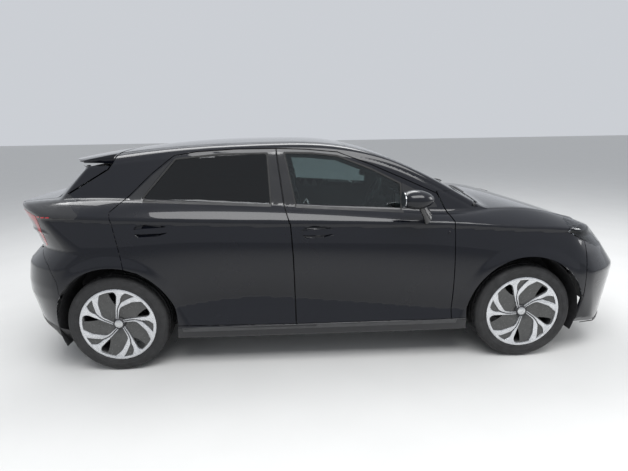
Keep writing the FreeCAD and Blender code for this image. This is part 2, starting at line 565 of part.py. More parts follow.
def on_wheel(outline, angle, hub, y_from, y_to):
    """Prism of a spoke outline turned about the hub, between two planes across the axle."""
    along = V(math.cos(math.radians(angle)), 0, math.sin(math.radians(angle)))
    across = V(along.z, 0, -along.x)

    def place(u, w):
        return V(hub.x, y_from, hub.z) + along * u + across * w

    start = here = place(*outline[0][-2:])
    edges = []
    for corner in outline[1:]:
        end = place(*corner[-2:])
        edges.append(arc(here, place(*corner[:2]), end) if len(corner) == 4 else line(here, end))
        here = end
    edges.append(line(here, start))
    return Part.Face(Part.Wire(edges)).extrude(V(0, y_to - y_from, 0))


def wheel(x, side):
    """Tyre and rim around the axle, with five forked spokes on a dark face and a brake disc behind them."""
    half = TYRE_WIDTH / 2
    c = V(x, side * WHEEL_Y, TYRE_R)

    def across(inner, outer, radius):
        return Part.makeCylinder(radius, outer - inner, V(x, side * (WHEEL_Y + inner), TYRE_R), V(0, side, 0))

    profile = [(RIM_SEAT_R, -half + 8), (250, -half + 3), (290, -half), (TYRE_R - 14, -half + 10), (TYRE_R, -half + 32),
               (TYRE_R, half - 32), (TYRE_R - 14, half - 10), (290, half), (250, half - 3), (RIM_SEAT_R, half - 8)]
    wire = Part.makePolygon([V(x, c.y + w, TYRE_R + r) for r, w in profile + profile[:1]])
    tyre = Part.Face(wire).revolve(c, V(0, 1, 0), 360)
    face = half - 8
    rim = across(-face, face, RIM_SEAT_R).cut(across(-half, half, RIM_INNER_R))
    rim = rim.fuse(across(face - SPOKE_THICK - FACE_THICK, face - SPOKE_THICK, RIM_INNER_R + 4))
    base = 110.0 if x > 0 else 83.0
    planes = [side * (WHEEL_Y + y) for y in (face - 30, face, face - SPOKE_THICK - 0.5 * FACE_THICK)]
    for k in range(5):
        rim = rim.cut(on_wheel(OPENING, base - 72 * k, c, planes[0], planes[1]))
    trim = across(-half, half, RIM_INNER_R + 4)
    for k in range(5):
        for outline in (THIN_BRANCH, WIDE_BLADE):
            rim = rim.fuse(on_wheel(outline, base - 72 * k, c, planes[2], planes[1]).common(trim))
    rim = rim.fuse(across(-30, face - 6, 45)).fuse(across(-30, face - SPOKE_THICK - FACE_THICK, 70))
    rim = rim.fuse(across(-26, -6, 150))
    rim = rim.cut(across(-80, face - 40, HUB_BORE_R))
    return tyre, one(rim)


for name, x in (("front", FRONT_AXLE_X), ("rear", REAR_AXLE_X)):
    for hand, side_sign in (("right", -1), ("left", 1)):
        tyre, rim = wheel(x, side_sign)
        parts["tyre_%s_%s" % (name, hand)] = one(tyre)
        parts["rim_%s_%s" % (name, hand)] = rim

# Interior
dash = prism_xz([(590, 700), (560, 880), (640, 950), (850, 915), (850, 700)], -690, 690)
dash = dash.fuse(box(640, 860, -110, 110, FLOOR_Z + FLOOR_THICK, 705))
dash = dash.fuse(box(-150, 645, -90, 90, FLOOR_Z + FLOOR_THICK, 560))
parts["dashboard"] = one(dash)


def front_seat(y):
    cushion = prism_xz([(-190, 430), (-190, 540), (330, 585), (350, 520), (330, 450)], y - 245, y + 245)
    back = prism_xz([(-200, 470), (-80, 560), (-190, 1100), (-270, 1100), (-330, 560)], y - 235, y + 235)
    head = prism_xz([(-200, 1090), (-205, 1270), (-285, 1270), (-275, 1090)], y - 120, y + 120)
    base = box(-150, 260, y - 190, y + 190, FLOOR_Z + FLOOR_THICK, 450)
    return cushion.fuse(back).fuse(head).fuse(base)


parts["seat_front_right"] = one(front_seat(-365))
parts["seat_front_left"] = one(front_seat(365))
bench = prism_xz([(-1160, 325), (-1160, 560), (-640, 590), (-620, 480), (-660, 325)], -610, 610)
bench = bench.fuse(prism_xz([(-1130, 560), (-1010, 600), (-1160, 1120), (-1235, 1120), (-1155, 560)], -570, 570))
parts["rear_seat"] = one(bench)

rim_centre = V(470, 365, 955)
axis = V(-math.cos(math.radians(24)), 0, math.sin(math.radians(24)))
ring_points = [V(182 + 15 * math.cos(a * math.pi / 4), 0, 15 * math.sin(a * math.pi / 4)) for a in range(9)]
wheel_ring = Part.Face(Part.makePolygon(ring_points)).revolve(V(0, 0, 0), V(0, 0, 1), 360)
wheel_ring.Placement = FreeCAD.Placement(rim_centre, FreeCAD.Rotation(V(0, 0, 1), axis))
hub = Part.makeCylinder(62, 50, rim_centre + axis * -38, axis)
shaft = Part.makeCylinder(14 - RUNNING, 240, rim_centre + axis * -250, axis)
shroud = Part.makeCylinder(38, 160, rim_centre + axis * -205, axis)
parts["dashboard"] = one(parts["dashboard"].fuse(shroud).fuse(shaft))
hub = hub.cut(Part.makeCylinder(14, 30, rim_centre + axis * -39, axis))
for angle in (0, 180, 270):
    arm = Part.makeBox(182, 30, 18, V(0, -15, -9))
    arm.rotate(V(0, 0, 0), V(0, 0, 1), angle)
    arm.Placement = FreeCAD.Placement(rim_centre, FreeCAD.Rotation(V(0, 0, 1), axis)).multiply(arm.Placement)
    hub = hub.fuse(arm)
parts["steering_wheel"] = one(wheel_ring.fuse(hub))

for name in list(parts):
    if name.endswith("_right") and not name.startswith(("tyre", "rim", "seat")):
        parts[name[:-6] + "_left"] = mirrored(parts[name])

os.makedirs("parts", exist_ok=True)
for name, shape in parts.items():
    shape.exportStep("parts/%s.step" % name)
print(len(parts), "parts")
for name, shape in sorted(parts.items()):
    b = shape.BoundBox
    print("%-26s solids %d valid %s vol %.2f l" % (name, len(shape.Solids), shape.isValid(), shape.Volume / 1e6))
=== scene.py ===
import bmesh
import bpy
import math
import numpy as np
from mathutils import Matrix, Vector
from mathutils.geometry import delaunay_2d_cdt
from mathutils.kdtree import KDTree


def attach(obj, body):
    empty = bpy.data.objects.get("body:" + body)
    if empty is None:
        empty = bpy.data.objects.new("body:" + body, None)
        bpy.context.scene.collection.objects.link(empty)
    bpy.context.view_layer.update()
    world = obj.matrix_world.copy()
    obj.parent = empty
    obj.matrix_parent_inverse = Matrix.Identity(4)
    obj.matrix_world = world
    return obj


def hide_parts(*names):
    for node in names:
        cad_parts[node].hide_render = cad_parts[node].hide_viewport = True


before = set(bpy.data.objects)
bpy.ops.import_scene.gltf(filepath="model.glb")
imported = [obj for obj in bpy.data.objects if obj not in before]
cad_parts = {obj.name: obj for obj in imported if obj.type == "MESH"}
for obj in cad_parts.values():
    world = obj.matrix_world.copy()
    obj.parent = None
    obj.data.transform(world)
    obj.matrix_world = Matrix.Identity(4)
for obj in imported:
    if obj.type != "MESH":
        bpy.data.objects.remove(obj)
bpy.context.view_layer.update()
print("frame loaded")


# shader helpers

class Socket:
    # a shader socket that takes part in arithmetic
    def __init__(self, shader, out):
        self.shader = shader
        self.out = out

    def maths(self, operation, first, second):
        return self.shader.node("Math", {"operation": operation}, {0: first, 1: second})

    def __add__(self, other):
        return self.maths("ADD", self, other)

    def __radd__(self, other):
        return self.maths("ADD", other, self)

    def __sub__(self, other):
        return self.maths("SUBTRACT", self, other)

    def __rsub__(self, other):
        return self.maths("SUBTRACT", other, self)

    def __mul__(self, other):
        return self.maths("MULTIPLY", self, other)

    def __rmul__(self, other):
        return self.maths("MULTIPLY", other, self)

    def __gt__(self, other):
        return self.maths("GREATER_THAN", self, other)

    def __lt__(self, other):
        return self.maths("LESS_THAN", self, other)


class Shader:
    def __init__(self, name):
        self.material = bpy.data.materials.new(name)
        self.material.use_nodes = True
        self.tree = self.material.node_tree
        self.tree.nodes.clear()
        self.surface = self.tree.nodes.new("ShaderNodeOutputMaterial").inputs["Surface"]
        self.place = self.node("TexCoord", output="Object")

    def node(self, kind, settings=None, inputs=None, output=0):
        made = self.tree.nodes.new("ShaderNode" + kind)
        for key, value in (settings or {}).items():
            if key == "stops":
                ramp = made.color_ramp
                while len(ramp.elements) < len(value):
                    ramp.elements.new(0.5)
                for element, (position, shade) in zip(ramp.elements, value):
                    element.position = position
                    element.color = (shade, shade, shade, 1)
            else:
                setattr(made, key, value)
        for key, value in (inputs or {}).items():
            self.feed(made.inputs[key], value)
        return Socket(self, made.outputs[output])

    def feed(self, socket, value):
        if isinstance(value, Socket):
            self.tree.links.new(value.out, socket)
        else:
            socket.default_value = value

    def noise(self, scale, detail=2.0, rough=0.5):
        inputs = {"Vector": self.place, "Scale": scale, "Detail": detail, "Roughness": rough}
        return self.node("TexNoise", None, inputs)

    def spread(self, value, low, high):
        # noise, which mostly lies from 0.3 to 0.7, spread between two numbers
        inputs = {"Value": value, "From Min": 0.3, "From Max": 0.7, "To Min": low, "To Max": high}
        return self.node("MapRange", None, inputs)

    def blend(self, factor, first, second):
        return self.node("Mix", {"data_type": "RGBA"}, {0: factor, 6: first, 7: second}, output=2)

    def bump(self, height, strength, distance):
        return self.node("Bump", None, {"Height": height, "Strength": strength, "Distance": distance})

    def principled(self, **inputs):
        named = {key.replace("_", " "): value for key, value in inputs.items()}
        return self.node("BsdfPrincipled", None, named)

    def finish(self, shader):
        self.feed(self.surface, shader)
        return self.material


def rgb(red, green, blue):
    return (red, green, blue, 1.0)


# finishes

# plain moulded, cast and coated finishes: dark colour, light colour, mottle scale, low and high roughness,
# metal, coat, grain scale, grain depth in metres
plainFinishes = {
    "glossTrim": ((0.008, 0.008, 0.009), (0.013, 0.013, 0.014), 6, 0.08, 0.14, 0, 0.6, 900, 0.00001),
    "satinTrim": ((0.016, 0.016, 0.017), (0.026, 0.026, 0.027), 9, 0.42, 0.58, 0, 0, 1400, 0.00012),
    "grainedTrim": ((0.022, 0.022, 0.023), (0.034, 0.034, 0.035), 14, 0.55, 0.7, 0, 0, 700, 0.0003),
    "sillGrey": ((0.045, 0.046, 0.048), (0.062, 0.063, 0.066), 11, 0.38, 0.5, 0, 0, 1100, 0.0001),
    "rubberSeal": ((0.006, 0.006, 0.006), (0.012, 0.012, 0.012), 20, 0.6, 0.75, 0, 0, 900, 0.0002),
    "tyreWall": ((0.012, 0.012, 0.0125), (0.026, 0.026, 0.027), 18, 0.62, 0.78, 0, 0, 700, 0.0003),
    "alloyBright": ((0.60, 0.61, 0.63), (0.72, 0.73, 0.75), 30, 0.24, 0.34, 0.9, 0.35, 1500, 0.00003),
    "alloyGrey": ((0.045, 0.046, 0.045), (0.062, 0.063, 0.062), 22, 0.2, 0.3, 0.25, 0.5, 1200, 0.00002),
    "castDark": ((0.03, 0.03, 0.032), (0.06, 0.06, 0.064), 40, 0.4, 0.55, 0.5, 0, 600, 0.0002),
    "brakeIron": ((0.16, 0.155, 0.15), (0.28, 0.275, 0.27), 60, 0.32, 0.5, 0.9, 0, 900, 0.0001),
    "frameCoat": ((0.015, 0.015, 0.017), (0.03, 0.03, 0.033), 12, 0.4, 0.6, 0.1, 0, 300, 0.0003),
    "batteryCase": ((0.20, 0.205, 0.215), (0.30, 0.305, 0.315), 7, 0.38, 0.55, 0.7, 0, 250, 0.0003),
    "motorCase": ((0.26, 0.265, 0.27), (0.38, 0.385, 0.39), 15, 0.42, 0.58, 0.7, 0, 350, 0.0006),
    "floorSheet": ((0.02, 0.02, 0.022), (0.038, 0.038, 0.042), 8, 0.5, 0.7, 0, 0, 260, 0.0004),
    "carpet": ((0.010, 0.010, 0.011), (0.024, 0.024, 0.026), 40, 0.85, 0.98, 0, 0, 420, 0.002),
    "softDash": ((0.014, 0.014, 0.016), (0.024, 0.024, 0.027), 20, 0.5, 0.62, 0, 0, 520, 0.0005),
    "blackScreen": ((0.004, 0.004, 0.005), (0.007, 0.007, 0.009), 4, 0.05, 0.08, 0, 0.8, 300, 0.0),
    "wheelLeather": ((0.012, 0.012, 0.013), (0.022, 0.022, 0.024), 30, 0.42, 0.55, 0, 0.05, 800, 0.0004),
    "lampBlack": ((0.01, 0.01, 0.011), (0.018, 0.018, 0.02), 10, 0.15, 0.25, 0.2, 0.3, 600, 0.00005),
    "reflector": ((0.62, 0.63, 0.65), (0.78, 0.79, 0.8), 25, 0.08, 0.16, 1.0, 0, 300, 0.00002),
    "capSilver": ((0.50, 0.51, 0.52), (0.62, 0.63, 0.64), 60, 0.22, 0.32, 0.9, 0.5, 700, 0.00003),
    "plateBlank": ((0.66, 0.66, 0.65), (0.74, 0.74, 0.73), 12, 0.35, 0.45, 0, 0.2, 900, 0.00005),
    "redLens": ((0.32, 0.012, 0.018), (0.46, 0.02, 0.028), 14, 0.08, 0.14, 0, 0.6, 200, 0.00005),
    "ledWhite": ((0.70, 0.72, 0.75), (0.84, 0.86, 0.9), 20, 0.18, 0.28, 0, 0.5, 300, 0.00005),
    "mirrorGlass": ((0.66, 0.68, 0.70), (0.72, 0.74, 0.76), 8, 0.02, 0.04, 1.0, 0.2, 50, 0.0),
}
finishes = {}
for name, (dark, light, mottle, low, high, metal, coat, grain, depth) in plainFinishes.items():
    shader = Shader(name)
    patch = shader.noise(mottle, 4)
    inputs = {
        "Base_Color": shader.blend(shader.spread(patch, 0.0, 1.0), rgb(*dark), rgb(*light)),
        "Roughness": shader.spread(shader.noise(mottle * 2.3, 3), low, high),
        "Metallic": float(metal),
        "Coat_Weight": float(coat),
        "Coat_Roughness": 0.06,
    }
    if depth:
        inputs["Normal"] = shader.bump(shader.noise(grain, 1), 0.5, depth)
    finishes[name] = shader.finish(shader.principled(**inputs))

paintLook = {
    "deep": rgb(0.0016, 0.0019, 0.0036),
    "flake": rgb(0.0045, 0.0055, 0.0100),
    "flakeScale": 2600.0,
    "peelScale": 190.0,
}


def paintFinish(look):
    # black pearl under clear lacquer, with a trace of orange peel
    shader = Shader("blackPaint")
    sparkle = shader.spread(shader.noise(look["flakeScale"], 1), 0.0, 1.0)
    haze = shader.spread(shader.noise(3.0, 3), 0.26, 0.34)
    return shader.finish(shader.principled(
        Base_Color=shader.blend(sparkle, look["deep"], look["flake"]),
        Metallic=0.0,
        Specular_IOR_Level=0.12,
        Roughness=haze,
        Coat_Weight=1.0,
        Coat_IOR=1.4,
        Coat_Roughness=0.02,
        Normal=shader.bump(shader.noise(look["peelScale"], 1), 0.06, 0.0004),
    ))


def glassFinish(name, tint, ior=1.5):
    # straight-through tinted glass with a mirror sheen
    shader = Shader(name)
    smear = shader.spread(shader.noise(5.0, 3), 0.004, 0.02)
    through = shader.node("BsdfTransparent", None, {"Color": tint})
    sheen = shader.principled(Base_Color=rgb(0.9, 0.92, 0.94), Metallic=1.0, Roughness=smear)
    edge = shader.node("Fresnel", None, {"IOR": ior})
    return shader.finish(shader.node("MixShader", None, {0: edge, 1: through, 2: sheen}))


def wovenFinish(name, dark, light, threads):
    # flat weave seen close, even grey from a step away
    shader = Shader(name)
    waves = {"Vector": shader.place, "Scale": threads, "Distortion": 0.6}
    across = shader.node("TexWave", {"bands_direction": "Y"}, waves)
    up = shader.node("TexWave", {"bands_direction": "Z"}, waves)
    weave = across * 0.5 + up * 0.5
    patch = shader.spread(shader.noise(16, 4), 0.0, 0.5)
    return shader.finish(shader.principled(
        Base_Color=shader.blend(weave * 0.6 + patch, dark, light),
        Roughness=shader.spread(shader.noise(60, 2), 0.8, 0.95),
        Sheen_Weight=0.25,
        Normal=shader.bump(weave, 0.5, 0.0008),
    ))


finishes["blackPaint"] = paintFinish(paintLook)
finishes["clearGlass"] = glassFinish("clearGlass", rgb(0.62, 0.68, 0.68))
finishes["privacyGlass"] = glassFinish("privacyGlass", rgb(0.12, 0.13, 0.14))
finishes["lampGlass"] = glassFinish("lampGlass", rgb(0.86, 0.88, 0.9))
finishes["smokedLens"] = glassFinish("smokedLens", rgb(0.30, 0.28, 0.29))
finishes["seatCloth"] = wovenFinish("seatCloth", rgb(0.010, 0.011, 0.013), rgb(0.045, 0.047, 0.052), 260)
finishes["seatSide"] = wovenFinish("seatSide", rgb(0.012, 0.012, 0.013), rgb(0.03, 0.03, 0.032), 420)
print("finishes made:", len(finishes))


# modelling helpers

def deselect():
    if bpy.context.object and bpy.context.object.mode != "OBJECT":
        bpy.ops.object.mode_set(mode="OBJECT")
    bpy.ops.object.select_all(action="DESELECT")


def makeActive(piece):
    deselect()
    piece.select_set(True)
    bpy.context.view_layer.objects.active = piece


def modify(piece, kind, **settings):
    makeActive(piece)
    added = piece.modifiers.new(kind.title(), kind)
    for key, value in settings.items():
        setattr(added, key, value)
    bpy.ops.object.modifier_apply(modifier=added.name)
    return piece


def bevelled(piece, width, segments=2, angle=30):
    return modify(piece, "BEVEL", width=width, segments=segments, limit_method="ANGLE",
                  angle_limit=math.radians(angle))


def pick(piece, kind, rule):
    # in edit mode: selects the faces, edges or vertices whose middle and normal meet a rule
    bpy.ops.object.mode_set(mode="OBJECT")
    mesh = piece.data
    points = [v.co for v in mesh.vertices]
    for group in (mesh.vertices, mesh.edges, mesh.polygons):
        for item in group:
            item.select = False
    if kind == "FACE":
        for face in mesh.polygons:
            face.select = rule(face.center, face.normal)
    elif kind == "EDGE":
        for edge in mesh.edges:
            first, last = (points[i] for i in edge.vertices)
            edge.select = rule((first + last) / 2, (last - first).normalized())
    else:
        for vertex in mesh.vertices:
            vertex.select = rule(vertex.co, vertex.normal)
    bpy.ops.object.mode_set(mode="EDIT")
    bpy.ops.mesh.select_mode(type=kind)


def tidyMesh(piece, distance=0.00002, outward=True):
    makeActive(piece)
    bpy.ops.object.mode_set(mode="EDIT")
    bpy.ops.mesh.select_all(action="SELECT")
    bpy.ops.mesh.remove_doubles(threshold=distance)
    if outward:
        bpy.ops.mesh.normals_make_consistent(inside=False)
    bpy.ops.object.mode_set(mode="OBJECT")
    return piece


def shapePoints(piece, rule):
    # moves every vertex by a rule, as with the sculpt grab brush
    for vertex in piece.data.vertices:
        vertex.co = Vector(rule(vertex.co))
    piece.data.update()
    return piece


def plate(outline, low, high, axis="Y"):
    # a flat plate with its outline in the plane across the axis
    deselect()
    bpy.ops.mesh.primitive_circle_add(vertices=len(outline), radius=1, fill_type="NGON")
    piece = bpy.context.object
    order = {"X": lambda a, b, c: (c, a, b), "Y": lambda a, b, c: (a, c, b), "Z": lambda a, b, c: (a, b, c)}[axis]
    for vertex, (a, b) in zip(piece.data.vertices, outline):
        vertex.co = order(a, b, low)
    bpy.ops.object.mode_set(mode="EDIT")
    bpy.ops.mesh.select_all(action="SELECT")
    bpy.ops.mesh.extrude_region_move(TRANSFORM_OT_translate={"value": order(0, 0, high - low)})
    bpy.ops.mesh.select_all(action="SELECT")
    bpy.ops.mesh.normals_make_consistent(inside=False)
    bpy.ops.object.mode_set(mode="OBJECT")
    return piece


def spun(profile, steps=64, centre=(0, 0, 0), axis=(0, 1, 0)):
    # a closed profile of (radius, place along the axis) spun about the wheel axis
    deselect()
    bpy.ops.mesh.primitive_circle_add(vertices=len(profile), radius=1, fill_type="NOTHING")
    piece = bpy.context.object
    for vertex, (radius, along) in zip(piece.data.vertices, profile):
        vertex.co = (0, along, radius)
    bpy.ops.object.mode_set(mode="EDIT")
    bpy.ops.mesh.select_all(action="SELECT")
    bpy.ops.mesh.spin(steps=steps, angle=math.tau, center=(0, 0, 0), axis=(0, 1, 0))
    bpy.ops.object.mode_set(mode="OBJECT")
    turn = Vector((0, 1, 0)).rotation_difference(Vector(axis)).to_matrix().to_4x4()
    piece.data.transform(Matrix.Translation(centre) @ turn)
    return tidyMesh(piece)


def rounded(low, high, radius, segments=3):
    # a box between two corners with rounded edges
    deselect()
    middle = [(a + b) / 2 for a, b in zip(low, high)]
    bpy.ops.mesh.primitive_cube_add(size=1, location=middle, scale=[b - a for a, b in zip(low, high)])
    bpy.ops.object.transform_apply(location=True, rotation=True, scale=True)
    return bevelled(bpy.context.object, radius, segments)


def joined(pieces):
    deselect()
    for piece in pieces:
        piece.select_set(True)
    bpy.context.view_layer.objects.active = pieces[0]
    bpy.ops.object.join()
    return bpy.context.object


def copied(piece, matrix):
    made = bpy.data.objects.new(piece.name + "Copy", piece.data.copy())
    bpy.context.scene.collection.objects.link(made)
    made.data.transform(matrix)
    if matrix.determinant() < 0:
        made.data.flip_normals()
    return made


def done(piece, name, body, finish, slot=None, smooth=30, replaces=()):
    # names a piece, gives it its finish and hands it to the body that carries it
    makeActive(piece)
    bpy.ops.object.transform_apply(location=True, rotation=True, scale=True)
    if smooth:
        bpy.ops.object.shade_smooth_by_angle(angle=math.radians(smooth))
    piece.name = name
    names = [finish] if isinstance(finish, str) else finish
    piece.data.materials.clear()
    for one in names:
        piece.data.materials.append(finishes[one])
    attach(piece, body)
    if replaces:
        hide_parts(*replaces)
    return piece


def parted(piece, rule):
    # gives each face the material index that a rule works out from the face centres and normals
    count = len(piece.data.polygons)
    centres, normals = np.zeros(count * 3), np.zeros(count * 3)
    piece.data.polygons.foreach_get("center", centres)
    piece.data.polygons.foreach_get("normal", normals)
    index = rule(centres.reshape(-1, 3).T, normals.reshape(-1, 3).T)
    piece.data.polygons.foreach_set("material_index", np.asarray(index, np.int32))
    piece.data.update()


def fromNode(node):
    # a welded copy of a CAD node's mesh, so that it shades smoothly and can be cut
    made = bpy.data.objects.new(node + "Copy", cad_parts[node].data.copy())
    bpy.context.scene.collection.objects.link(made)
    return tidyMesh(made, 0.00003, outward=False)


def shifted(outline, by):
    # the outline moved outward by a distance
    area = sum(ax * by2 - bx * ay for (ax, ay), (bx, by2) in zip(outline, outline[1:] + outline[:1]))
    sign = 1 if area > 0 else -1
    result = []
    count = len(outline)
    for i in range(count):
        before, here, after = (Vector(outline[(i + k) % count]) for k in (-1, 0, 1))
        first, second = (here - before).normalized(), (after - here).normalized()
        normal = Vector((first.y + second.y, -first.x - second.x)) * 0.5 * sign
        result.append(tuple(here + normal * (by / max(normal.length_squared, 0.3))))
    return result


mirrorY = Matrix.Scale(-1, 4, (0, 1, 0))
sides = (("Right", "right", Matrix.Identity(4)), ("Left", "left", mirrorY))

# wheels: modelled about the origin with the outer face towards -Y, then carried to the four corners

wheelLook = {
    "centres": {"front": 1.301, "rear": -1.404},
    "halfTrack": 0.775,
    "axleHeight": 0.330,
    "spokeAngle": {"front": 105.5, "rear": 78.5},
    "facePlane": -0.1085,
    "faceDish": 0.016,
    "rimEdge": 0.2485,
    "rimInner": 0.2295,
    "ridgeThickness": 0.013,
    "ridgeTrim": 0.0016,
    "panelDepth": 0.0095,
    "treadSteps": 132,
}

# one spoke seen from outside: place along the spoke, place across it on the clockwise side
thinBranch = [
    (0.030, -0.0245), (0.060, -0.0268), (0.090, -0.0290), (0.140, -0.0296), (0.192, -0.0300), (0.206, -0.0345),
    (0.216, -0.0430), (0.222, -0.0560), (0.234, -0.0500), (0.237, -0.0250), (0.2375, 0.0000), (0.236, 0.0240),
    (0.223, 0.0250), (0.212, 0.0120), (0.200, 0.0035), (0.186, -0.0010), (0.155, -0.0030), (0.130, -0.0120),
    (0.110, -0.0172), (0.090, -0.0196), (0.060, -0.0180), (0.030, -0.0162),
]
wideBlade = [
    (0.030, -0.0130), (0.060, -0.0140), (0.090, -0.0152), (0.112, -0.0135), (0.130, -0.0085), (0.150, 0.0005),
    (0.160, 0.0065), (0.178, 0.0285), (0.195, 0.0500), (0.206, 0.0660), (0.216, 0.0850), (0.220, 0.0880),
    (0.211, 0.1120), (0.196, 0.1360), (0.186, 0.1340), (0.181, 0.1150), (0.176, 0.0930), (0.1686, 0.0709),
    (0.156, 0.0530), (0.140, 0.0310), (0.1246, 0.0110), (0.114, 0.0015), (0.100, -0.0035), (0.080, -0.0050),
    (0.030, -0.0060),
]
coolingHole = [
    (0.127, -0.0330), (0.134, -0.0420), (0.148, -0.0530), (0.166, -0.0650), (0.186, -0.0760), (0.2035, -0.0830),
    (0.2130, -0.0640), (0.2190, -0.0480), (0.2135, -0.0400), (0.2040, -0.0352), (0.1900, -0.0325), (0.160, -0.0320),
]


def spokePoints(points, angle):
    # turns spoke coordinates into the face plane, x to the front and z up as seen from outside
    along, across = math.radians(angle), math.radians(angle - 90)
    return [(u * math.cos(along) + w * math.cos(across), u * math.sin(along) + w * math.sin(across))
            for u, w in points]


def dished(piece, look):
    def sink(co):
        share = min(1.0, math.hypot(co.x, co.z) / look["rimInner"])
        return (co.x, co.y + look["faceDish"] * (1 - share * share), co.z)
    return shapePoints(piece, sink)


def makeRidges(look, base):
    front = look["facePlane"]
    parts = []
    for k in range(5):
        for outline in (thinBranch, wideBlade):
            points = spokePoints(shifted(outline, -look["ridgeTrim"]), base - 72 * k)
            parts.append(plate(points, front, front + look["ridgeThickness"]))
    edge, inner = look["rimEdge"], look["rimInner"]
    ring = spun([(inner, front), (inner + 0.003, front - 0.0012), (edge - 0.004, front - 0.0012),
                 (edge - 0.001, front + 0.0005), (edge, front + 0.004), (edge - 0.002, front + 0.020),
                 (inner - 0.001, front + 0.020)], 96)
    ridges = joined(parts)
    ridges = dished(bevelled(ridges, 0.0013, 2, 40), look)
    return joined([ridges, ring])


def makePanel(look, base):
    front = look["facePlane"] + look["panelDepth"]
    disc = spun([(0.030, front + 0.003), (0.034, front), (0.100, front), (0.150, front), (0.200, front), (0.231, front),
                 (0.231, front + 0.007), (0.030, front + 0.007)], 96)
    for k in range(5):
        cutter = plate(spokePoints(coolingHole, base - 72 * k), front - 0.02, front + 0.03)
        modify(disc, "BOOLEAN", object=cutter, operation="DIFFERENCE", solver="EXACT")
        bpy.data.objects.remove(cutter)
    return dished(disc, look)


def makeBarrel(look):
    # the well of the rim behind the face, open towards the car
    front = look["facePlane"]
    return spun([(0.2300, front + 0.008), (0.2480, front + 0.003), (0.2480, front + 0.010), (0.2360, front + 0.020),
                 (0.2330, front + 0.060), (0.2260, front + 0.075), (0.2330, front + 0.110), (0.2360, front + 0.200),
                 (0.2480, front + 0.207), (0.2480, front + 0.213), (0.2290, front + 0.214), (0.2260, front + 0.190),
                 (0.2240, front + 0.110), (0.2170, front + 0.075), (0.2220, front + 0.040)], 72)


def makeCap(look):
    middle = look["facePlane"] + look["faceDish"] - 0.002
    return spun([(0.0, middle - 0.0042), (0.010, middle - 0.0040), (0.020, middle - 0.0028), (0.0265, middle - 0.0004),
                 (0.0275, middle + 0.002), (0.0275, middle + 0.012), (0.0, middle + 0.012)], 48)


def makeHub(look):
    middle = look["facePlane"] + look["faceDish"]
    return spun([(0.0280, middle + 0.001), (0.0330, middle - 0.001), (0.0370, middle + 0.001), (0.0430, middle + 0.012),
                 (0.0480, middle + 0.050), (0.0700, middle + 0.060), (0.0700, middle + 0.068),
                 (0.0280, middle + 0.068)], 48)


def makeDisc():
    # ventilated brake disc with its hat
    return spun([(0.070, 0.000), (0.078, -0.002), (0.084, 0.010), (0.092, 0.014), (0.150, 0.014), (0.150, 0.021),
                 (0.120, 0.0215), (0.120, 0.0275), (0.150, 0.028), (0.150, 0.035), (0.092, 0.035),
                 (0.070, 0.028)], 72)


def makeTyre(look):
    # sidewall ribs, rounded shoulders and four grooves; then cross grooves are pressed into the shoulders
    profile = [
        (0.2485, -0.098), (0.2505, -0.1105), (0.2545, -0.1135), (0.2590, -0.1130), (0.2600, -0.1140),
        (0.2630, -0.1148), (0.2645, -0.1138), (0.2750, -0.1160), (0.2760, -0.1172), (0.2800, -0.1174),
        (0.2810, -0.1163), (0.2930, -0.1160), (0.3020, -0.1135), (0.3030, -0.1142), (0.3070, -0.1124),
        (0.3085, -0.1105), (0.3150, -0.1070), (0.3205, -0.1015), (0.3250, -0.0930), (0.3272, -0.0850),
        (0.3285, -0.0640), (0.3215, -0.0625), (0.3215, -0.0540), (0.3290, -0.0525), (0.3296, -0.0240),
        (0.3225, -0.0225), (0.3225, -0.0130), (0.3298, -0.0115),
    ]
    outline = profile + [(radius, -along) for radius, along in reversed(profile)]
    tyre = spun(outline, look["treadSteps"])
    makeActive(tyre)
    step = math.tau / look["treadSteps"]

    def blocks(least, near, far, every, shifts):
        # the tread faces between two distances from the middle line, one in every few
        def rule(centre, _):
            turn = int((math.atan2(centre.z, centre.x) + math.pi) / step)
            radius = math.hypot(centre.x, centre.z)
            return radius > least and near < abs(centre.y) < far and turn % every == shifts[centre.y <= 0]
        return rule

    shoulders = blocks(0.3265, 0.066, 0.0925, 3, (0, 1)), -0.006
    middle = blocks(0.3285, 0.028, 0.050, 6, (2, 5)), -0.004
    for rule, depth in (shoulders, middle):
        pick(tyre, "FACE", rule)
        bpy.ops.mesh.extrude_region_shrink_fatten(TRANSFORM_OT_shrink_fatten={"value": depth})
        bpy.ops.object.mode_set(mode="OBJECT")
    return tyre


def placeWheels(look):
    tyre, barrel, disc = makeTyre(look), makeBarrel(look), makeDisc()
    cap, hub = makeCap(look), makeHub(look)
    for end in ("front", "rear"):
        base = look["spokeAngle"][end]
        ridges, panel = makeRidges(look, base), makePanel(look, base)
        for label, hand, _ in sides:
            turn = Matrix.Rotation(math.pi if hand == "left" else 0, 4, "Z")
            reach = look["halfTrack"] * (1 if hand == "left" else -1)
            matrix = Matrix.Translation((look["centres"][end], reach, look["axleHeight"])) @ turn
            body = "wheel_%s_%s" % (end, hand)
            title = end + label
            rim = "rim_%s_%s" % (end, hand)
            done(copied(tyre, matrix), title + "Tyre", body, "tyreWall", "tyre", 30, ["tyre_%s_%s" % (end, hand)])
            done(copied(ridges, matrix), title + "WheelRidges", body, "alloyBright", "alloy", 40, [rim])
            done(copied(panel, matrix), title + "WheelPanel", body, "alloyGrey", "alloy", 40)
            done(copied(barrel, matrix), title + "WheelBarrel", body, "castDark", "alloy", 40)
            done(copied(hub, matrix), title + "WheelHub", body, "castDark", "alloy", 40)
            done(copied(cap, matrix), title + "WheelCap", body, "capSilver", "alloy", 40)
            done(copied(disc, matrix), title + "BrakeDisc", body, "brakeIron", "cast", 40)
        for pattern in (ridges, panel):
            bpy.data.objects.remove(pattern)
    for pattern in (tyre, barrel, disc, cap, hub):
        bpy.data.objects.remove(pattern)
    print("wheels placed")


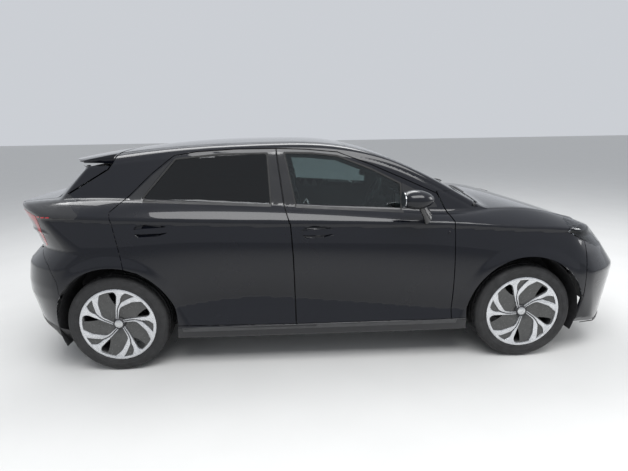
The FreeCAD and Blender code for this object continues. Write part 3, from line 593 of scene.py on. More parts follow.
placeWheels(wheelLook)


# outer skin: the same side sections, plan outlines and panel edges as the solids, in millimetres

bodySections = (
    # x, ySill, zSill, yLow, zLow, yMid, zMid, yShoulder, zShoulder, yDeck, zDeck, zCrown
    (2250, 800, 250, 868, 400, 885, 560, 800, 620, 620, 670, 715),
    (1800, 850, 262, 893, 415, 902, 670, 848, 850, 690, 885, 898),
    (1303, 880, 275, 900, 400, 917, 735, 888, 920, 705, 1018, 1034),
    (850, 900, 298, 882, 372, 904, 760, 884, 952, 780, 1012, 1086),
    (400, 903, 298, 866, 410, 901, 760, 882, 970, 795, 1040, 1110),
    (-50, 903, 298, 858, 455, 901, 760, 882, 984, 800, 1068, 1120),
    (-500, 903, 298, 860, 490, 902, 760, 884, 998, 800, 1094, 1136),
    (-950, 900, 298, 868, 450, 907, 765, 887, 1018, 795, 1120, 1150),
    (-1402, 880, 285, 902, 400, 918, 765, 890, 1042, 780, 1142, 1160),
    (-1850, 850, 270, 893, 400, 905, 745, 868, 1068, 735, 1138, 1146),
    (-2250, 815, 262, 872, 400, 880, 720, 818, 1082, 690, 1098, 1104),
)
roofSections = (
    # x, yBase, zBase, yRail, zRail, yEdge, zEdge, zCrown
    (1230, 766, 850, 752, 895, 705, 940, 995),
    (957, 790, 930, 745, 1040, 700, 1085, 1130),
    (735, 805, 950, 722, 1165, 678, 1210, 1238),
    (414, 822, 950, 694, 1315, 640, 1362, 1380),
    (64, 845, 950, 672, 1405, 596, 1456, 1475),
    (-404, 851, 950, 667, 1428, 585, 1478, 1501),
    (-990, 848, 950, 660, 1408, 573, 1460, 1486),
    (-1385, 842, 950, 652, 1368, 558, 1424, 1449),
    (-1820, 830, 950, 640, 1295, 540, 1355, 1382),
    (-2100, 815, 950, 630, 1225, 525, 1290, 1318),
)
bodyPlan = (
    # z, frontMiddle, frontSide, rearMiddle, rearSide
    (60, 2060, 1985, -1960, -1890), (232, 2095, 2020, -2040, -1975), (300, 2108, 2030, -2095, -2035),
    (520, 2136, 2065, -2138, -2088), (600, 2143.5, 2075, -2143.5, -2086), (726, 2098, 1985, -2128, -2062),
    (830, 2040, 1890, -2045, -1955), (1092, 1960, 1800, -2118, -2050), (1300, 1960, 1800, -2118, -2050),
)
roofPlan = (
    (800, 1450, 1400, -2235, -2165), (1120, 1450, 1400, -1905, -1835), (1345, 1450, 1400, -1655, -1592),
    (1500, 1450, 1400, -1500, -1440),
)


def splineThrough(rows):
    # natural cubic through the stations, one value for each column
    table = np.array(sorted(rows), float) / 1000
    x, y = table[:, 0], table[:, 1:]
    count, step = len(x), np.diff(table[:, 0])
    matrix, right = np.eye(count), np.zeros_like(y)
    for i in range(1, count - 1):
        matrix[i, i - 1:i + 2] = step[i - 1], 2 * (step[i - 1] + step[i]), step[i]
        right[i] = 6 * ((y[i + 1] - y[i]) / step[i] - (y[i] - y[i - 1]) / step[i - 1])
    bend = np.linalg.solve(matrix, right)

    def at(places):
        places = np.clip(places, x[0], x[-1])
        i = np.clip(np.searchsorted(x, places) - 1, 0, count - 2)
        h = step[i][:, None]
        a = (x[i + 1] - places)[:, None]
        b = (places - x[i])[:, None]
        value = (bend[i] * a ** 3 + bend[i + 1] * b ** 3) / (6 * h)
        value += (y[i] / h - bend[i] * h / 6) * a + (y[i + 1] / h - bend[i + 1] * h / 6) * b
        return value.T
    return at


bodyAt, roofAt = splineThrough(bodySections), splineThrough(roofSections)
softness = {"corner": 0.022, "belt": 0.018, "level": 0.010, "flare": 0.009, "flareReach": 0.080}
formLook = {"underside": 0.195, "upperStart": 0.95, "archHeight": 0.338, "archRadius": 0.393, "linerRadius": 0.3885}


def highest(values, soft):
    # smooth maximum, so that edges where two surfaces meet are rounded
    result = values[0]
    for value in values[1:]:
        share = np.clip(0.5 + 0.5 * (result - value) / soft, 0, 1)
        result = value * (1 - share) + result * share + soft * share * (1 - share)
    return result


def lowest(first, second, soft):
    return -highest([-first, -second], soft)


def planAt(rows, z):
    # plan row at a height, with the creases between rows eased
    table = np.array(rows, float) / 1000
    total = 0
    for shift in (-softness["level"], 0, softness["level"]):
        total = total + np.array([np.interp(z + shift, table[:, 0], table[:, k]) for k in range(1, 5)])
    return total / 3


cornerArc = (-0.5694, 0.3132, 0.6376)  # centre behind the side point, half width of the centre, radius


def planField(x, y, z, rows):
    fields = []
    front, frontSide, rear, rearSide = planAt(rows, z)
    for middle, side, sign in ((front, frontSide, 1), (rear, rearSide, -1)):
        depth = np.abs(middle - side)
        radius = (0.36 + depth ** 2) / (2 * depth)
        ahead = x * sign
        fields.append(np.hypot(np.maximum(ahead - middle * sign + radius, 0), y) - radius)
        past = np.maximum(ahead - side * sign - cornerArc[0], 0)
        fields.append(np.hypot(past, y - cornerArc[1]) - cornerArc[2] - np.maximum(0.6 - y, 0) * 0.8)
    return fields


def chordField(y, z, fromY, fromZ, toY, toZ, bulge):
    # distance outside a slightly bulged line between two section corners
    acrossY, acrossZ = toY - fromY, toZ - fromZ
    length = np.hypot(acrossY, acrossZ)
    share = np.clip(((y - fromY) * acrossY + (z - fromZ) * acrossZ) / length ** 2, 0, 1)
    return ((y - fromY) * acrossZ - (z - fromZ) * acrossY) / length - 4 * bulge * share * (1 - share)


def crownField(y, z, edgeY, edgeZ, crownZ):
    rise = crownZ - edgeZ
    radius = (edgeY ** 2 + rise ** 2) / (2 * rise)
    return np.hypot(y, z - (crownZ - radius)) - radius


def arcWidth(z, low, middle, high):
    # half width at a height on the circle through three section corners
    (ay, az), (by, bz), (cy, cz) = low, middle, high
    d = 2 * (ay * (bz - cz) + by * (cz - az) + cy * (az - bz))
    sa, sb, sc = ay ** 2 + az ** 2, by ** 2 + bz ** 2, cy ** 2 + cz ** 2
    oy = (sa * (bz - cz) + sb * (cz - az) + sc * (az - bz)) / d
    oz = (sa * (cy - by) + sb * (ay - cy) + sc * (by - ay)) / d
    radius = np.hypot(ay - oy, az - oz)
    return oy + np.sqrt(np.maximum(radius ** 2 - (z - oz) ** 2, 1e-9))


def flare(x, z):
    # wheel arches stand out a little round their edge
    swell = 0
    for centre in wheelLook["centres"].values():
        reach = np.hypot(x - centre, z - formLook["archHeight"]) - formLook["archRadius"]
        reach = reach / softness["flareReach"]
        swell = swell + (1 - np.clip(reach, 0, 1) ** 2) ** 2 * (reach > -1) * np.clip((z - 0.20) / 0.25, 0, 1)
    return swell * softness["flare"]


def lowerField(x, y, z):
    ySill, zSill, yLow, zLow, yMid, zMid, ySh, zSh, yDeck, zDeck, zCrown = bodyAt(x)
    zDrop = zSh - 0.034
    below = ySill - 0.055 * (zSill - z) / (zSill - formLook["underside"])
    sill = ySill + (yLow - ySill) * (z - zSill) / (zLow - zSill)
    flank = arcWidth(np.clip(z, zLow, zDrop), (yLow, zLow), (yMid, zMid), (ySh - 0.005, zDrop))
    above = ySh - 0.005 + 0.005 * (z - zDrop) / 0.034
    width = np.where(z < zSill, below, np.where(z < zLow, sill, np.where(z < zDrop, flank, above)))
    side = y - width - flare(x, z)
    haunch = chordField(y, z, ySh, zSh, yDeck, zDeck, 0.006)
    crown = crownField(y, z, yDeck, zDeck, zCrown)
    fields = [highest([side, haunch, crown], 0.012)] + planField(x, y, z, bodyPlan)
    return highest(fields + [formLook["underside"] - z], softness["corner"])


def upperField(x, y, z):
    yBase, zBase, yRail, zRail, yEdge, zEdge, zCrown = roofAt(x)
    side = chordField(y, z, yBase, zBase, yRail, zRail, 0.0)
    rail = chordField(y, z, yRail, zRail, yEdge, zEdge, 0.011)
    crown = crownField(y, z, yEdge, zEdge, zCrown)
    return highest([side, rail, crown] + planField(x, y, z, roofPlan) + [formLook["upperStart"] - z], 0.014)


def skinField(points):
    # below zero inside the car's outer skin, in metres
    x, y, z = points[:, 0], np.abs(points[:, 1]), points[:, 2]
    return lowest(lowerField(x, y, z), upperField(x, y, z), softness["belt"])


def roofSkin(points):
    # the roof carried on rearwards past the back glass, as the spoiler's top
    x, y, z = points[:, 0], np.abs(points[:, 1]), points[:, 2]
    yBase, zBase, yRail, zRail, yEdge, zEdge, zCrown = roofAt(x)
    side = chordField(y, z, yBase, zBase, yRail, zRail, 0.0)
    rail = chordField(y, z, yRail, zRail, yEdge, zEdge, 0.011)
    return highest([side, rail, crownField(y, z, yEdge, zEdge, zCrown)], 0.014)


def cast(origins, directions, reach, inset=0.0, field=None):
    # the last place where each ray leaves the skin, and for a ray that misses it the nearest place on it
    field = field or skinField
    near = np.zeros(len(origins))
    far = np.full(len(origins), float(reach))
    closest, best = np.full(len(origins), np.inf), near
    for distance in np.linspace(0.4, 1.0, 31)[:-1] * reach:
        depth = field(origins + directions * distance)
        near = np.where(depth < -inset, distance, near)
        best = np.where(depth < closest, distance, best)
        closest = np.minimum(depth, closest)
    missed = (closest > -inset) & (field(origins) > -inset)
    for _ in range(22):
        half = (near + far) / 2
        outside = field(origins + directions * half[:, None]) > -inset
        far = np.where(outside, half, far)
        near = np.where(outside, near, half)
    found = origins + directions * np.where(missed, best, (near + far) / 2)[:, None]
    if missed.any() and field is skinField:
        found[missed] = onSkin(found[missed], inset)
    return found


def gradientAt(points):
    step = 0.0008
    slopes = []
    for axis in np.eye(3) * step:
        slopes.append(skinField(points + axis) - skinField(points - axis))
    slope = np.stack(slopes, 1)
    return slope / np.maximum(np.linalg.norm(slope, axis=1)[:, None], 1e-12)


def evenOdd(points, starts, ends):
    # which points lie inside the rings that the edges make
    within = np.zeros(len(points), bool)
    slope = (ends[:, 0] - starts[:, 0]) / np.where(ends[:, 1] == starts[:, 1], 1, ends[:, 1] - starts[:, 1])
    for low in range(0, len(points), 2000):
        x, y = points[low:low + 2000, 0][:, None], points[low:low + 2000, 1][:, None]
        crosses = (starts[:, 1] > y) != (ends[:, 1] > y)
        crosses &= x < starts[:, 0] + slope * (y - starts[:, 1])
        within[low:low + 2000] = crosses.sum(1) % 2 == 1
    return within


def filled(ring, edges, spacing, pitch, gap):
    # triangles that fill the rings of a flat border, on an even grid that keeps a gap to the border;
    # pitch is the distance between rows and gap the least distance to the border, in spacings
    starts, ends = ring[edges[:, 0]], ring[edges[:, 1]]
    lows, highs = ring.min(0), ring.max(0)
    columns = np.arange(lows[0] + spacing / 2, highs[0], spacing)
    rows = np.arange(lows[1] + spacing / 2, highs[1], spacing * pitch)
    grid = [(x + (spacing / 2 if k % 2 else 0), y) for k, y in enumerate(rows) for x in columns]
    grid = np.array(grid).reshape(-1, 2)
    grid = grid[evenOdd(grid, starts, ends)]
    tree = KDTree(len(ring))
    for i, point in enumerate(ring):
        tree.insert((*point, 0), i)
    tree.balance()
    grid = np.array([p for p in grid if tree.find((*p, 0))[2] > spacing * gap]).reshape(-1, 2)
    points = [Vector(p) for p in np.vstack([ring, grid])]
    found, _, corners, origin, *_ = delaunay_2d_cdt(points, edges.tolist(), [], 0, 1e-7)
    flat = np.array([tuple(p) for p in found])
    corners = np.array([c for c in corners if len(c) == 3])
    corners = corners[evenOdd(flat[corners].mean(axis=1), starts, ends)]
    owners = [min([k for k in source if k < len(ring)], default=-1) for source in origin]
    return flat, corners, owners


def divided(outline, spacing):
    # the outline with points no further apart than the spacing
    result = []
    for (ax, ay), (bx, by) in zip(outline, outline[1:] + outline[:1]):
        count = max(1, math.ceil(math.hypot(bx - ax, by - ay) / spacing))
        result += [(ax + (bx - ax) * k / count, ay + (by - ay) * k / count) for k in range(count)]
    return result


def eased(outline, radius, steps=3):
    # rounds the corners of an outline
    result = []
    count = len(outline)
    for i in range(count):
        before, here, after = (Vector(outline[(i + k) % count]) for k in (-1, 0, 1))
        back, on = before - here, after - here
        turn = math.pi - back.angle(on, math.pi)
        cut = min(radius * math.tan(turn / 2), back.length * 0.45, on.length * 0.45)
        if turn < 0.12:
            result.append(tuple(here))
            continue
        start, end = here + back.normalized() * cut, here + on.normalized() * cut
        for k in range(steps + 1):
            t = k / steps
            result.append(tuple(start * (1 - t) ** 2 + here * 2 * t * (1 - t) + end * t ** 2))
    return result


def sheet(include, exclude, way, spacing=0.016, inset=0.0, field=None):
    # a skin panel: the area inside one outline and outside others, triangulated and laid on the body
    rings = [divided(ring, spacing) for ring in [include] + list(exclude)]
    edges, start = [], 0
    for ring in rings:
        edges += [(start + k, start + (k + 1) % len(ring)) for k in range(len(ring))]
        start += len(ring)
    border = np.array([point for ring in rings for point in ring])
    flat, corners, _ = filled(border, np.array(edges), spacing, 1.0, 0.55)
    used = np.unique(corners)
    renumber = np.full(len(flat), -1)
    renumber[used] = np.arange(len(used))
    solid = cast(*way[1](flat[used]), inset, field)
    mesh = bpy.data.meshes.new("sheet")
    mesh.from_pydata(solid.tolist(), [], renumber[corners].tolist())
    mesh.update()
    piece = bpy.data.objects.new("sheet", mesh)
    bpy.context.scene.collection.objects.link(piece)
    middle = mesh.polygons[len(mesh.polygons) // 2]
    outward = gradientAt(np.array([middle.center]))[0]
    if Vector(outward).dot(middle.normal) < 0:
        mesh.flip_normals()
    return piece


# ways to lay a part of the skin flat: where its points fall, and the rays that lead back to it
def sideways(slope, hand=-1):
    def flatten(points):
        return np.stack([points[:, 0], points[:, 2] - slope * (points[:, 1] * hand - 0.35)], 1)

    def rays(flat):
        origins = np.stack([flat[:, 0], np.full(len(flat), 0.35 * hand), flat[:, 1]], 1)
        return origins, np.tile([0.0, float(hand), slope], (len(flat), 1)), 0.9
    return flatten, rays


def upwards(start=0.6):
    def rays(flat):
        origins = np.column_stack([flat, np.full(len(flat), start)])
        return origins, np.tile([0.0, 0.0, 1.0], (len(flat), 1)), 1.1
    return (lambda points: points[:, :2]), rays


def around(sign, axis=1.25, radius=0.85, slope=0.4):
    # about an upright line behind the nose or ahead of the tail
    def flatten(points):
        ahead = points[:, 0] * sign - axis
        turn = np.arctan2(points[:, 1], ahead)
        return np.stack([turn * radius, points[:, 2] - slope * np.hypot(ahead, points[:, 1])], 1)

    def rays(flat):
        turn = flat[:, 0] / radius
        origins = np.stack([np.full(len(flat), axis * sign), np.zeros(len(flat)), flat[:, 1]], 1)
        return origins, np.stack([np.cos(turn) * sign, np.sin(turn), np.full(len(flat), slope)], 1), 1.3
    return flatten, rays


def lengthways(sign, slope=0.0, start=1.2):
    # met going forwards or rearwards, rising by the slope
    def flatten(points):
        return np.stack([points[:, 1], points[:, 2] - slope * (points[:, 0] * sign - start)], 1)

    def rays(flat):
        origins = np.stack([np.full(len(flat), start * sign), flat[:, 0], flat[:, 1]], 1)
        return origins, np.tile([float(sign), 0.0, slope], (len(flat), 1)), 1.3
    return flatten, rays


def onSkin(points, inset=0.0):
    for _ in range(3):
        points = points - (skinField(points) + inset)[:, None] * gradientAt(points)
    return points


def grown(faces, facing, field):
    # the outer faces: those right on the skin and all that follow from them without a sharp bend
    number = {face: i for i, face in enumerate(faces)}
    allowed = (facing > 0.3) & (np.abs(field) < 0.06) & (np.array([face.normal.z for face in faces]) > -0.85)
    outer = allowed & (facing > 0.8) & (np.abs(field) < 0.0045)
    front = [face for face, seed in zip(faces, outer) if seed]
    while front:
        face = front.pop()
        for edge in face.edges:
            for other in edge.link_faces:
                i = number[other]
                if allowed[i] and not outer[i] and face.normal.dot(other.normal) > 0.8:
                    outer[i] = True
                    front.append(other)
    for _ in range(2):
        for i, face in enumerate(faces):
            near = [outer[number[other]] for edge in face.edges for other in edge.link_faces if other is not face]
            if not outer[i] and sum(near) >= 2 and (face.calc_area() < 0.00002 or all(near)):
                outer[i] = True
    return outer


def skinned(node, ways, spacing=0.016, inset=0.0):
    # a copy of a CAD panel whose outer faces are laid anew, evenly and right on the skin
    piece = fromNode(node)
    work = bmesh.new()
    work.from_mesh(piece.data)
    mark = work.faces.layers.int.new("way")
    faces = list(work.faces)
    centres = np.array([face.calc_center_median() for face in faces])
    normals = np.array([face.normal for face in faces])
    field = skinField(centres)
    outer = grown(faces, (gradientAt(centres) * normals).sum(1), field)
    group = np.zeros(len(faces), int)
    for number, (rule, _) in enumerate(ways, 1):
        group[outer & (group == 0) & rule(centres.T, normals.T)] = number
    for face, number in zip(faces, group):
        face[mark] = int(number)

    def onBorder(edge, number=None):
        marks = [face[mark] for face in edge.link_faces]
        if number is None:
            return len(set(marks)) > 1
        return marks.count(number) % 2 == 1

    for edge in [e for e in work.edges if onBorder(e)]:
        start = edge.verts[0]
        for left in range(math.ceil(edge.calc_length() / spacing), 1, -1):
            start = bmesh.utils.edge_split(edge, start, 1 / left)[1]
    border = list({vertex for edge in work.edges if onBorder(edge) for vertex in edge.verts})
    for vertex, place in zip(border, onSkin(np.array([v.co for v in border]), inset)):
        vertex.co = place
    for number, (_, way) in enumerate(ways, 1):
        old = [face for face in work.faces if face[mark] == number]
        edges = [edge for edge in work.edges if onBorder(edge, number)]
        if not edges:
            continue
        ring = list({vertex for edge in edges for vertex in edge.verts})
        place = {vertex: i for i, vertex in enumerate(ring)}
        lines = np.array([[place[v] for v in edge.verts] for edge in edges])
        flatten, rays = way
        flat, corners, owners = filled(flatten(np.array([v.co for v in ring])), lines, spacing, 0.87, 0.5)
        solid = cast(*rays(flat), inset)
        made = [ring[owner] if owner >= 0 else None for owner in owners]
        for i in np.unique(corners):
            made[i] = made[i] or work.verts.new(solid[i])
        fresh = []
        for triangle in corners:
            try:
                fresh.append(work.faces.new([made[i] for i in triangle]))
            except ValueError:
                continue
        for face in fresh:
            face.normal_update()
        slopes = gradientAt(np.array([face.calc_center_median() for face in fresh]))
        facing = (slopes * np.array([face.normal for face in fresh])).sum(1)
        for face, side in zip(fresh, facing):
            face[mark] = number + 100
            if side < 0:
                face.normal_flip()
        bmesh.ops.delete(work, geom=old, context="FACES")
    for face in work.faces:
        face[mark] = face[mark] // 100
    work.to_mesh(piece.data)
    work.free()
    piece.data.update()
    return piece


def thickened(piece, thickness=0.003, round=0.0012):
    modify(piece, "SOLIDIFY", thickness=thickness, offset=-1.0)
    return bevelled(piece, round, 2, 50) if round else piece


# window outlines in the side view, in metres
frontGlass = [
    (-0.215, 1.083), (-0.283, 1.409), (-0.110, 1.404), (0.062, 1.383), (0.285, 1.295), (0.472, 1.200), (0.468, 1.036),
]
rearGlass = [
    (-0.380, 1.092), (-0.400, 1.407), (-0.700, 1.406), (-0.990, 1.381), (-1.190, 1.150), (-1.180, 1.136),
]


# painted panels: CAD panels whose outer faces are laid anew, with the inner faces as trim

def glasshouse(hand):
    # the faces beside the back glass on one side
    return lambda centres, normals: (normals[1] * hand > 0.6) & (centres[2] > 1.15) & (centres[0] > -1.72)


def belowSpoiler(centres, normals):
    return (centres[2] < 1.325) | (centres[0] > -1.40)


def everything(centres, normals):
    return np.ones(len(centres[0]), bool)


def underSpoiler(face):
    # the CAD spoiler's own faces, which the spoiler below stands for
    x, y, z = face.calc_center_median()
    return x < -1.40 and z > 1.334 + 0.013 * (abs(y) > 0.50)


def skinNormals(piece, skin):
    # shading that follows the true skin, whatever the triangles
    mesh = piece.data
    points, index = np.zeros(len(mesh.vertices) * 3), np.zeros(len(mesh.loops), np.int32)
    corners = np.zeros(len(mesh.polygons), np.int32)
    mesh.vertices.foreach_get("co", points)
    mesh.loops.foreach_get("vertex_index", index)
    mesh.polygons.foreach_get("loop_total", corners)
    normals = gradientAt(points.reshape(-1, 3))[index]
    normals[~np.repeat(skin == 1, corners)] = 0
    mesh.normals_split_custom_set(normals.tolist())


def trimmed(piece, rule):
    # takes away the faces whose centre meets a rule
    work = bmesh.new()
    work.from_mesh(piece.data)
    bmesh.ops.delete(work, geom=[face for face in work.faces if rule(face)], context="FACES")
    work.to_mesh(piece.data)
    work.free()
    return piece


def onlySkin(piece):
    work = bmesh.new()
    work.from_mesh(piece.data)
    mark = work.faces.layers.int["way"]
    bmesh.ops.delete(work, geom=[face for face in work.faces if face[mark] != 1], context="FACES")
    work.to_mesh(piece.data)
    work.free()
    return piece


def pair(piece, name, body, finish, slot=None, smooth=30, node=None):
    # the right-hand piece and its mirror image
    for label, hand, matrix in sides:
        carrier = body + hand if body.endswith("_") else body
        done(copied(piece, matrix), name + label, carrier, finish, slot, smooth, [node + hand] if node else ())
    bpy.data.objects.remove(piece)


def dressed(piece, name, body, coats, slot, node, angle=28, rule=None):
    # the skin takes the first finish, the other faces the second or what a rule says
    skin = np.zeros(len(piece.data.polygons), np.int32)
    piece.data.attributes["way"].data.foreach_get("value", skin)
    done(piece, name, body, coats, slot, angle, [node])
    parted(piece, lambda centres, normals: np.where(skin == 1, 0, 1 if rule is None else rule(centres, normals)))
    skinNormals(piece, skin)
    return piece


panelLook = {"spacing": 0.012, "fine": 0.009, "slope": 0.364, "glassInset": 0.003, "paintedDepth": 0.014, "smooth": 28}


def shutFaces(centres, normals):
    # paint goes a little way round the edges
    return np.where(skinField(centres.T) > -panelLook["paintedDepth"], 0, 1)


side = sideways(panelLook["slope"], -1)
otherSide = sideways(panelLook["slope"], 1)
paintAndGrain, paintAndSatin = ["blackPaint", "grainedTrim"], ["blackPaint", "satinTrim"]
clearBoth, darkBoth = ["clearGlass"] * 2, ["privacyGlass"] * 2
sidePanels = (
    # node, piece, body, finishes, slot, ways, inset
    ("body_side_", "bodySide", "body", paintAndGrain, "paint", [(everything, side)], 0.0),
    ("fender_", "fender", "body", paintAndSatin, "paint", [(everything, side)], 0.0),
    ("door_front_", "frontDoor", "front_door_", paintAndGrain, "paint", [(everything, side)], 0.0),
    ("door_rear_", "rearDoor", "rear_door_", paintAndGrain, "paint", [(everything, side)], 0.0),
    ("door_glass_front_", "frontDoorGlass", "front_door_", clearBoth, "clear_glass", [(everything, side)], 0.003),
    ("door_glass_rear_", "rearDoorGlass", "rear_door_", darkBoth, "dark_glass", [(everything, side)], 0.003),
)
middlePanels = (
    ("roof_panel", "roofPanel", "body", ["blackPaint", "softDash"], "paint", [(everything, upwards())], 0.0),
    ("bonnet", "bonnetPanel", "bonnet", paintAndSatin, "paint", [(everything, upwards())], 0.0),
    ("tailgate", "tailgatePanel", "tailgate", paintAndGrain, "paint",
     [(glasshouse(-1), side), (glasshouse(1), otherSide), (belowSpoiler, lengthways(-1, 0.5))], 0.0),
    ("front_bumper", "frontBumper", "body", paintAndSatin, "bumper_paint", [(everything, around(1))], 0.0),
    ("rear_bumper", "rearBumper", "body", paintAndSatin, "bumper_paint", [(everything, around(-1))], 0.0),
    ("windscreen", "windscreenGlass", "body", clearBoth, "clear_glass", [(everything, upwards())], 0.003),
    ("tailgate_glass", "tailgateGlass", "tailgate", darkBoth, "dark_glass",
     [(everything, lengthways(-1, 0.5))], 0.003),
)
for node, name, body, coats, slot, ways, inset in sidePanels:
    pattern = skinned(node + "right", ways, panelLook["fine" if node == "body_side_" else "spacing"], inset)
    for label, hand, matrix in sides:
        carrier = body + hand if body.endswith("_") else body
        panel = copied(pattern, matrix)
        dressed(panel, name + label, carrier, coats, slot, node + hand, panelLook["smooth"], shutFaces)
    bpy.data.objects.remove(pattern)
for node, name, body, coats, slot, ways, inset in middlePanels:
    panel = skinned(node, ways, panelLook["spacing"], inset)
    if node == "tailgate":
        panel = trimmed(panel, underSpoiler)
    dressed(panel, name, body, coats, slot, node, panelLook["smooth"], shutFaces)
print("panels dressed")

# spoiler over the back glass
spoilerLook = {
    "start": -1.390, "edge": -1.826, "radius": 0.945, "halfWidth": 0.590,
    "underside": 1.331, "lip": 0.014, "rake": 0.22, "thickness": 0.02,
}


def makeSpoiler(look):
    def edgeAt(y):
        return look["edge"] + look["radius"] - math.sqrt(look["radius"] ** 2 - y * y)

    half = look["halfWidth"]
    outline = [(look["start"], -0.555), (look["start"], 0.555), (-1.50, 0.572)]
    outline += [(edgeAt(half * k / 8), half * k / 8) for k in range(8, -9, -1)] + [(-1.50, -0.572)]
    top = sheet(eased(outline, 0.02), [], upwards(), 0.016, 0.0, roofSkin)
    piece = modify(top, "SOLIDIFY", thickness=look["thickness"], offset=-1.0)
    depth = roofSkin(np.array([v.co for v in piece.data.vertices]))
    for vertex, below in zip(piece.data.vertices, depth):
        if below < -0.008:
            x, y, z = vertex.co
            crown = z + look["thickness"]
            wanted = crown - look["lip"] - look["rake"] * max(0.0, x - edgeAt(min(abs(y), half)))
            vertex.co.z = min(max(wanted, look["underside"]), crown - 0.010)
    done(bevelled(piece, 0.003, 2, 50), "roofSpoiler", "tailgate", "blackPaint", "paint", 35)


makeSpoiler(spoilerLook)


# lamps
lampLook = {
    "setBack": 0.032,
    "runningLight": [(1.600, 0.874), (1.740, 0.806), (1.830, 0.770), (1.925, 0.746),
                     (1.932, 0.757), (1.842, 0.783), (1.750, 0.820), (1.612, 0.886)],
    "projectors": [(1.905, 0.772), (1.850, 0.800), (1.790, 0.828)],
    "lensRadius": 0.017,
    "rearBand": [(-1.992, 1.086), (-1.900, 1.068), (-1.852, 1.056), (-1.822, 0.860),
                 (-1.843, 0.846), (-1.888, 1.018), (-1.984, 1.054)],
    "dashes": [(-1.838, -1.812), (-1.802, -1.776), (-1.766, -1.740)],
}
level = sideways(0.0)


def strip(outline, way, spacing, raised, thickness=0.003, round=0.0, corners=0.0):
    # a thin piece laid on the skin, raised from it or sunk where raised is below zero
    outline = eased(outline, corners) if corners else outline
    return thickened(sheet(outline, [], way, spacing, -raised), thickness, round)


def facingOut(x, z, depth):
    # place and direction at a depth below the skin, for a point in the side view
    place = cast(*level[1](np.array([(x, z)])), 0.0)
    normal = gradientAt(place)[0]
    return Vector(place[0] - normal * depth), Vector(normal)


def makeLamps(look):
    front = [(everything, around(1))]
    housing = skinned("headlamp_right", front, 0.016, look["setBack"])
    pair(housing, "headlampHousing", "body", "lampBlack", "black_trim")
    lens = thickened(onlySkin(skinned("headlamp_right", front, 0.012)), 0.0025, 0)
    pair(lens, "headlampLens", "body", "lampGlass", "lamp_clear", 30, "headlamp_")
    pair(strip(look["runningLight"], level, 0.008, -0.009, 0.006, 0.001), "runningLight", "body", "ledWhite")
    size = look["lensRadius"]
    profile = [(0.0, -0.010), (size * 0.6, -0.008), (size, 0.0), (size, 0.012), (0.0, 0.012)]
    bowl = [(1.05, 0.000), (1.35, -0.003), (1.40, 0.0), (1.1, 0.012), (1.05, 0.012)]
    bowl = [(size * share, along) for share, along in bowl]
    for k, (x, z) in enumerate(look["projectors"]):
        place, normal = facingOut(x, z, 0.020)
        pair(spun(profile, 32, place, -normal), "projector%d" % (k + 1), "body", "lampGlass", None, 40)
        pair(spun(bowl, 32, place, -normal), "reflectorRing%d" % (k + 1), "body", "reflector", None, 40)
    rear = [(everything, around(-1))]
    lamp = skinned("tail_lamp_right", rear, 0.014)
    for label, hand, matrix in sides:
        dressed(copied(lamp, matrix), "tailLamp" + label, "body", ["glossTrim"] * 2, "lamp_red", "tail_lamp_" + hand)
    bpy.data.objects.remove(lamp)
    band = strip(look["rearBand"], level, 0.010, 0.0012, corners=0.004)
    pair(band, "tailLampBand", "body", "redLens", "lamp_red")
    for k, (rear, ahead) in enumerate(look["dashes"]):
        dash = [(rear, 1.048), (ahead, 1.050), (ahead, 1.058), (rear, 1.056)]
        pair(strip(dash, level, 0.006, 0.0012), "tailLampDash%d" % (k + 1), "body", "redLens")
    bar = [(-0.625, 1.036), (0.625, 1.036), (0.625, 1.054), (-0.625, 1.054)]
    done(strip(bar, lengthways(-1), 0.02, 0.0012), "tailgateLightBar", "tailgate", "redLens")


makeLamps(lampLook)
print("lamps made")

# trim laid on the skin
sideTrims = (
    # piece, body, finish, outline in the side view
    ("frontPillarCover", "front_door_", "glossTrim",
     [(-0.222, 1.086), (-0.290, 1.412), (-0.331, 1.420), (-0.288, 1.088)]),
    ("rearPillarCover", "rear_door_", "glossTrim",
     [(-0.300, 1.088), (-0.345, 1.420), (-0.391, 1.412), (-0.372, 1.094)]),
    ("rearWindowCover", "rear_door_", "glossTrim",
     [(-1.001, 1.392), (-1.140, 1.284), (-1.294, 1.140), (-1.202, 1.138), (-1.200, 1.152)]),
    ("mirrorSail", "front_door_", "glossTrim",
     [(0.482, 1.042), (0.484, 1.206), (0.560, 1.168), (0.690, 1.098), (0.716, 1.046)]),
    ("frontBeltStrip", "front_door_", "satinTrim",
     [(0.482, 1.036), (-0.217, 1.084), (-0.217, 1.070), (0.482, 1.022)]),
    ("rearBeltStrip", "rear_door_", "satinTrim",
     [(-0.376, 1.093), (-1.190, 1.138), (-1.190, 1.124), (-0.376, 1.079)]),
    ("sillStrip", "body", "sillGrey",
     [(-0.985, 0.264), (-0.985, 0.300), (0.845, 0.301), (0.845, 0.268)]),
    ("rearCornerTrim", "body", "satinTrim",
     [(-1.728, 0.300), (-1.850, 0.328), (-1.965, 0.335), (-1.950, 0.215), (-1.712, 0.215)]),
)
for title, body, finish, outline in sideTrims:
    pair(strip(outline, level, 0.018, 0.0008, corners=0.004), title, body, finish, "black_trim")
for title, body, x in (("frontHingeSkin", "front_door_", 0.752), ("rearHingeSkin", "rear_door_", -0.304)):
    for k, z in enumerate((0.640, 0.880)):
        edge = 0.8035 if x > 0 else -0.252 + 0.010 * (1 - k)
        patch = [(x - 0.045, z - 0.03), (x - 0.045, z + 0.03), (edge, z + 0.03), (edge, z - 0.03)]
        pair(strip(patch, level, 0.01, 0.0002, 0.001), "%s%d" % (title, k + 1), body, "blackPaint", "paint")
for title, body, glass in (("frontWindowSeal", "front_door_", frontGlass), ("rearWindowSeal", "rear_door_", rearGlass)):
    outer, inner = (eased(shifted(glass, by), 0.012) for by in (0.009, -0.002))
    ring = sheet(outer, [inner], level, 0.012, -0.0004)
    pair(thickened(ring, 0.005, 0), title, body, "rubberSeal", "black_trim")

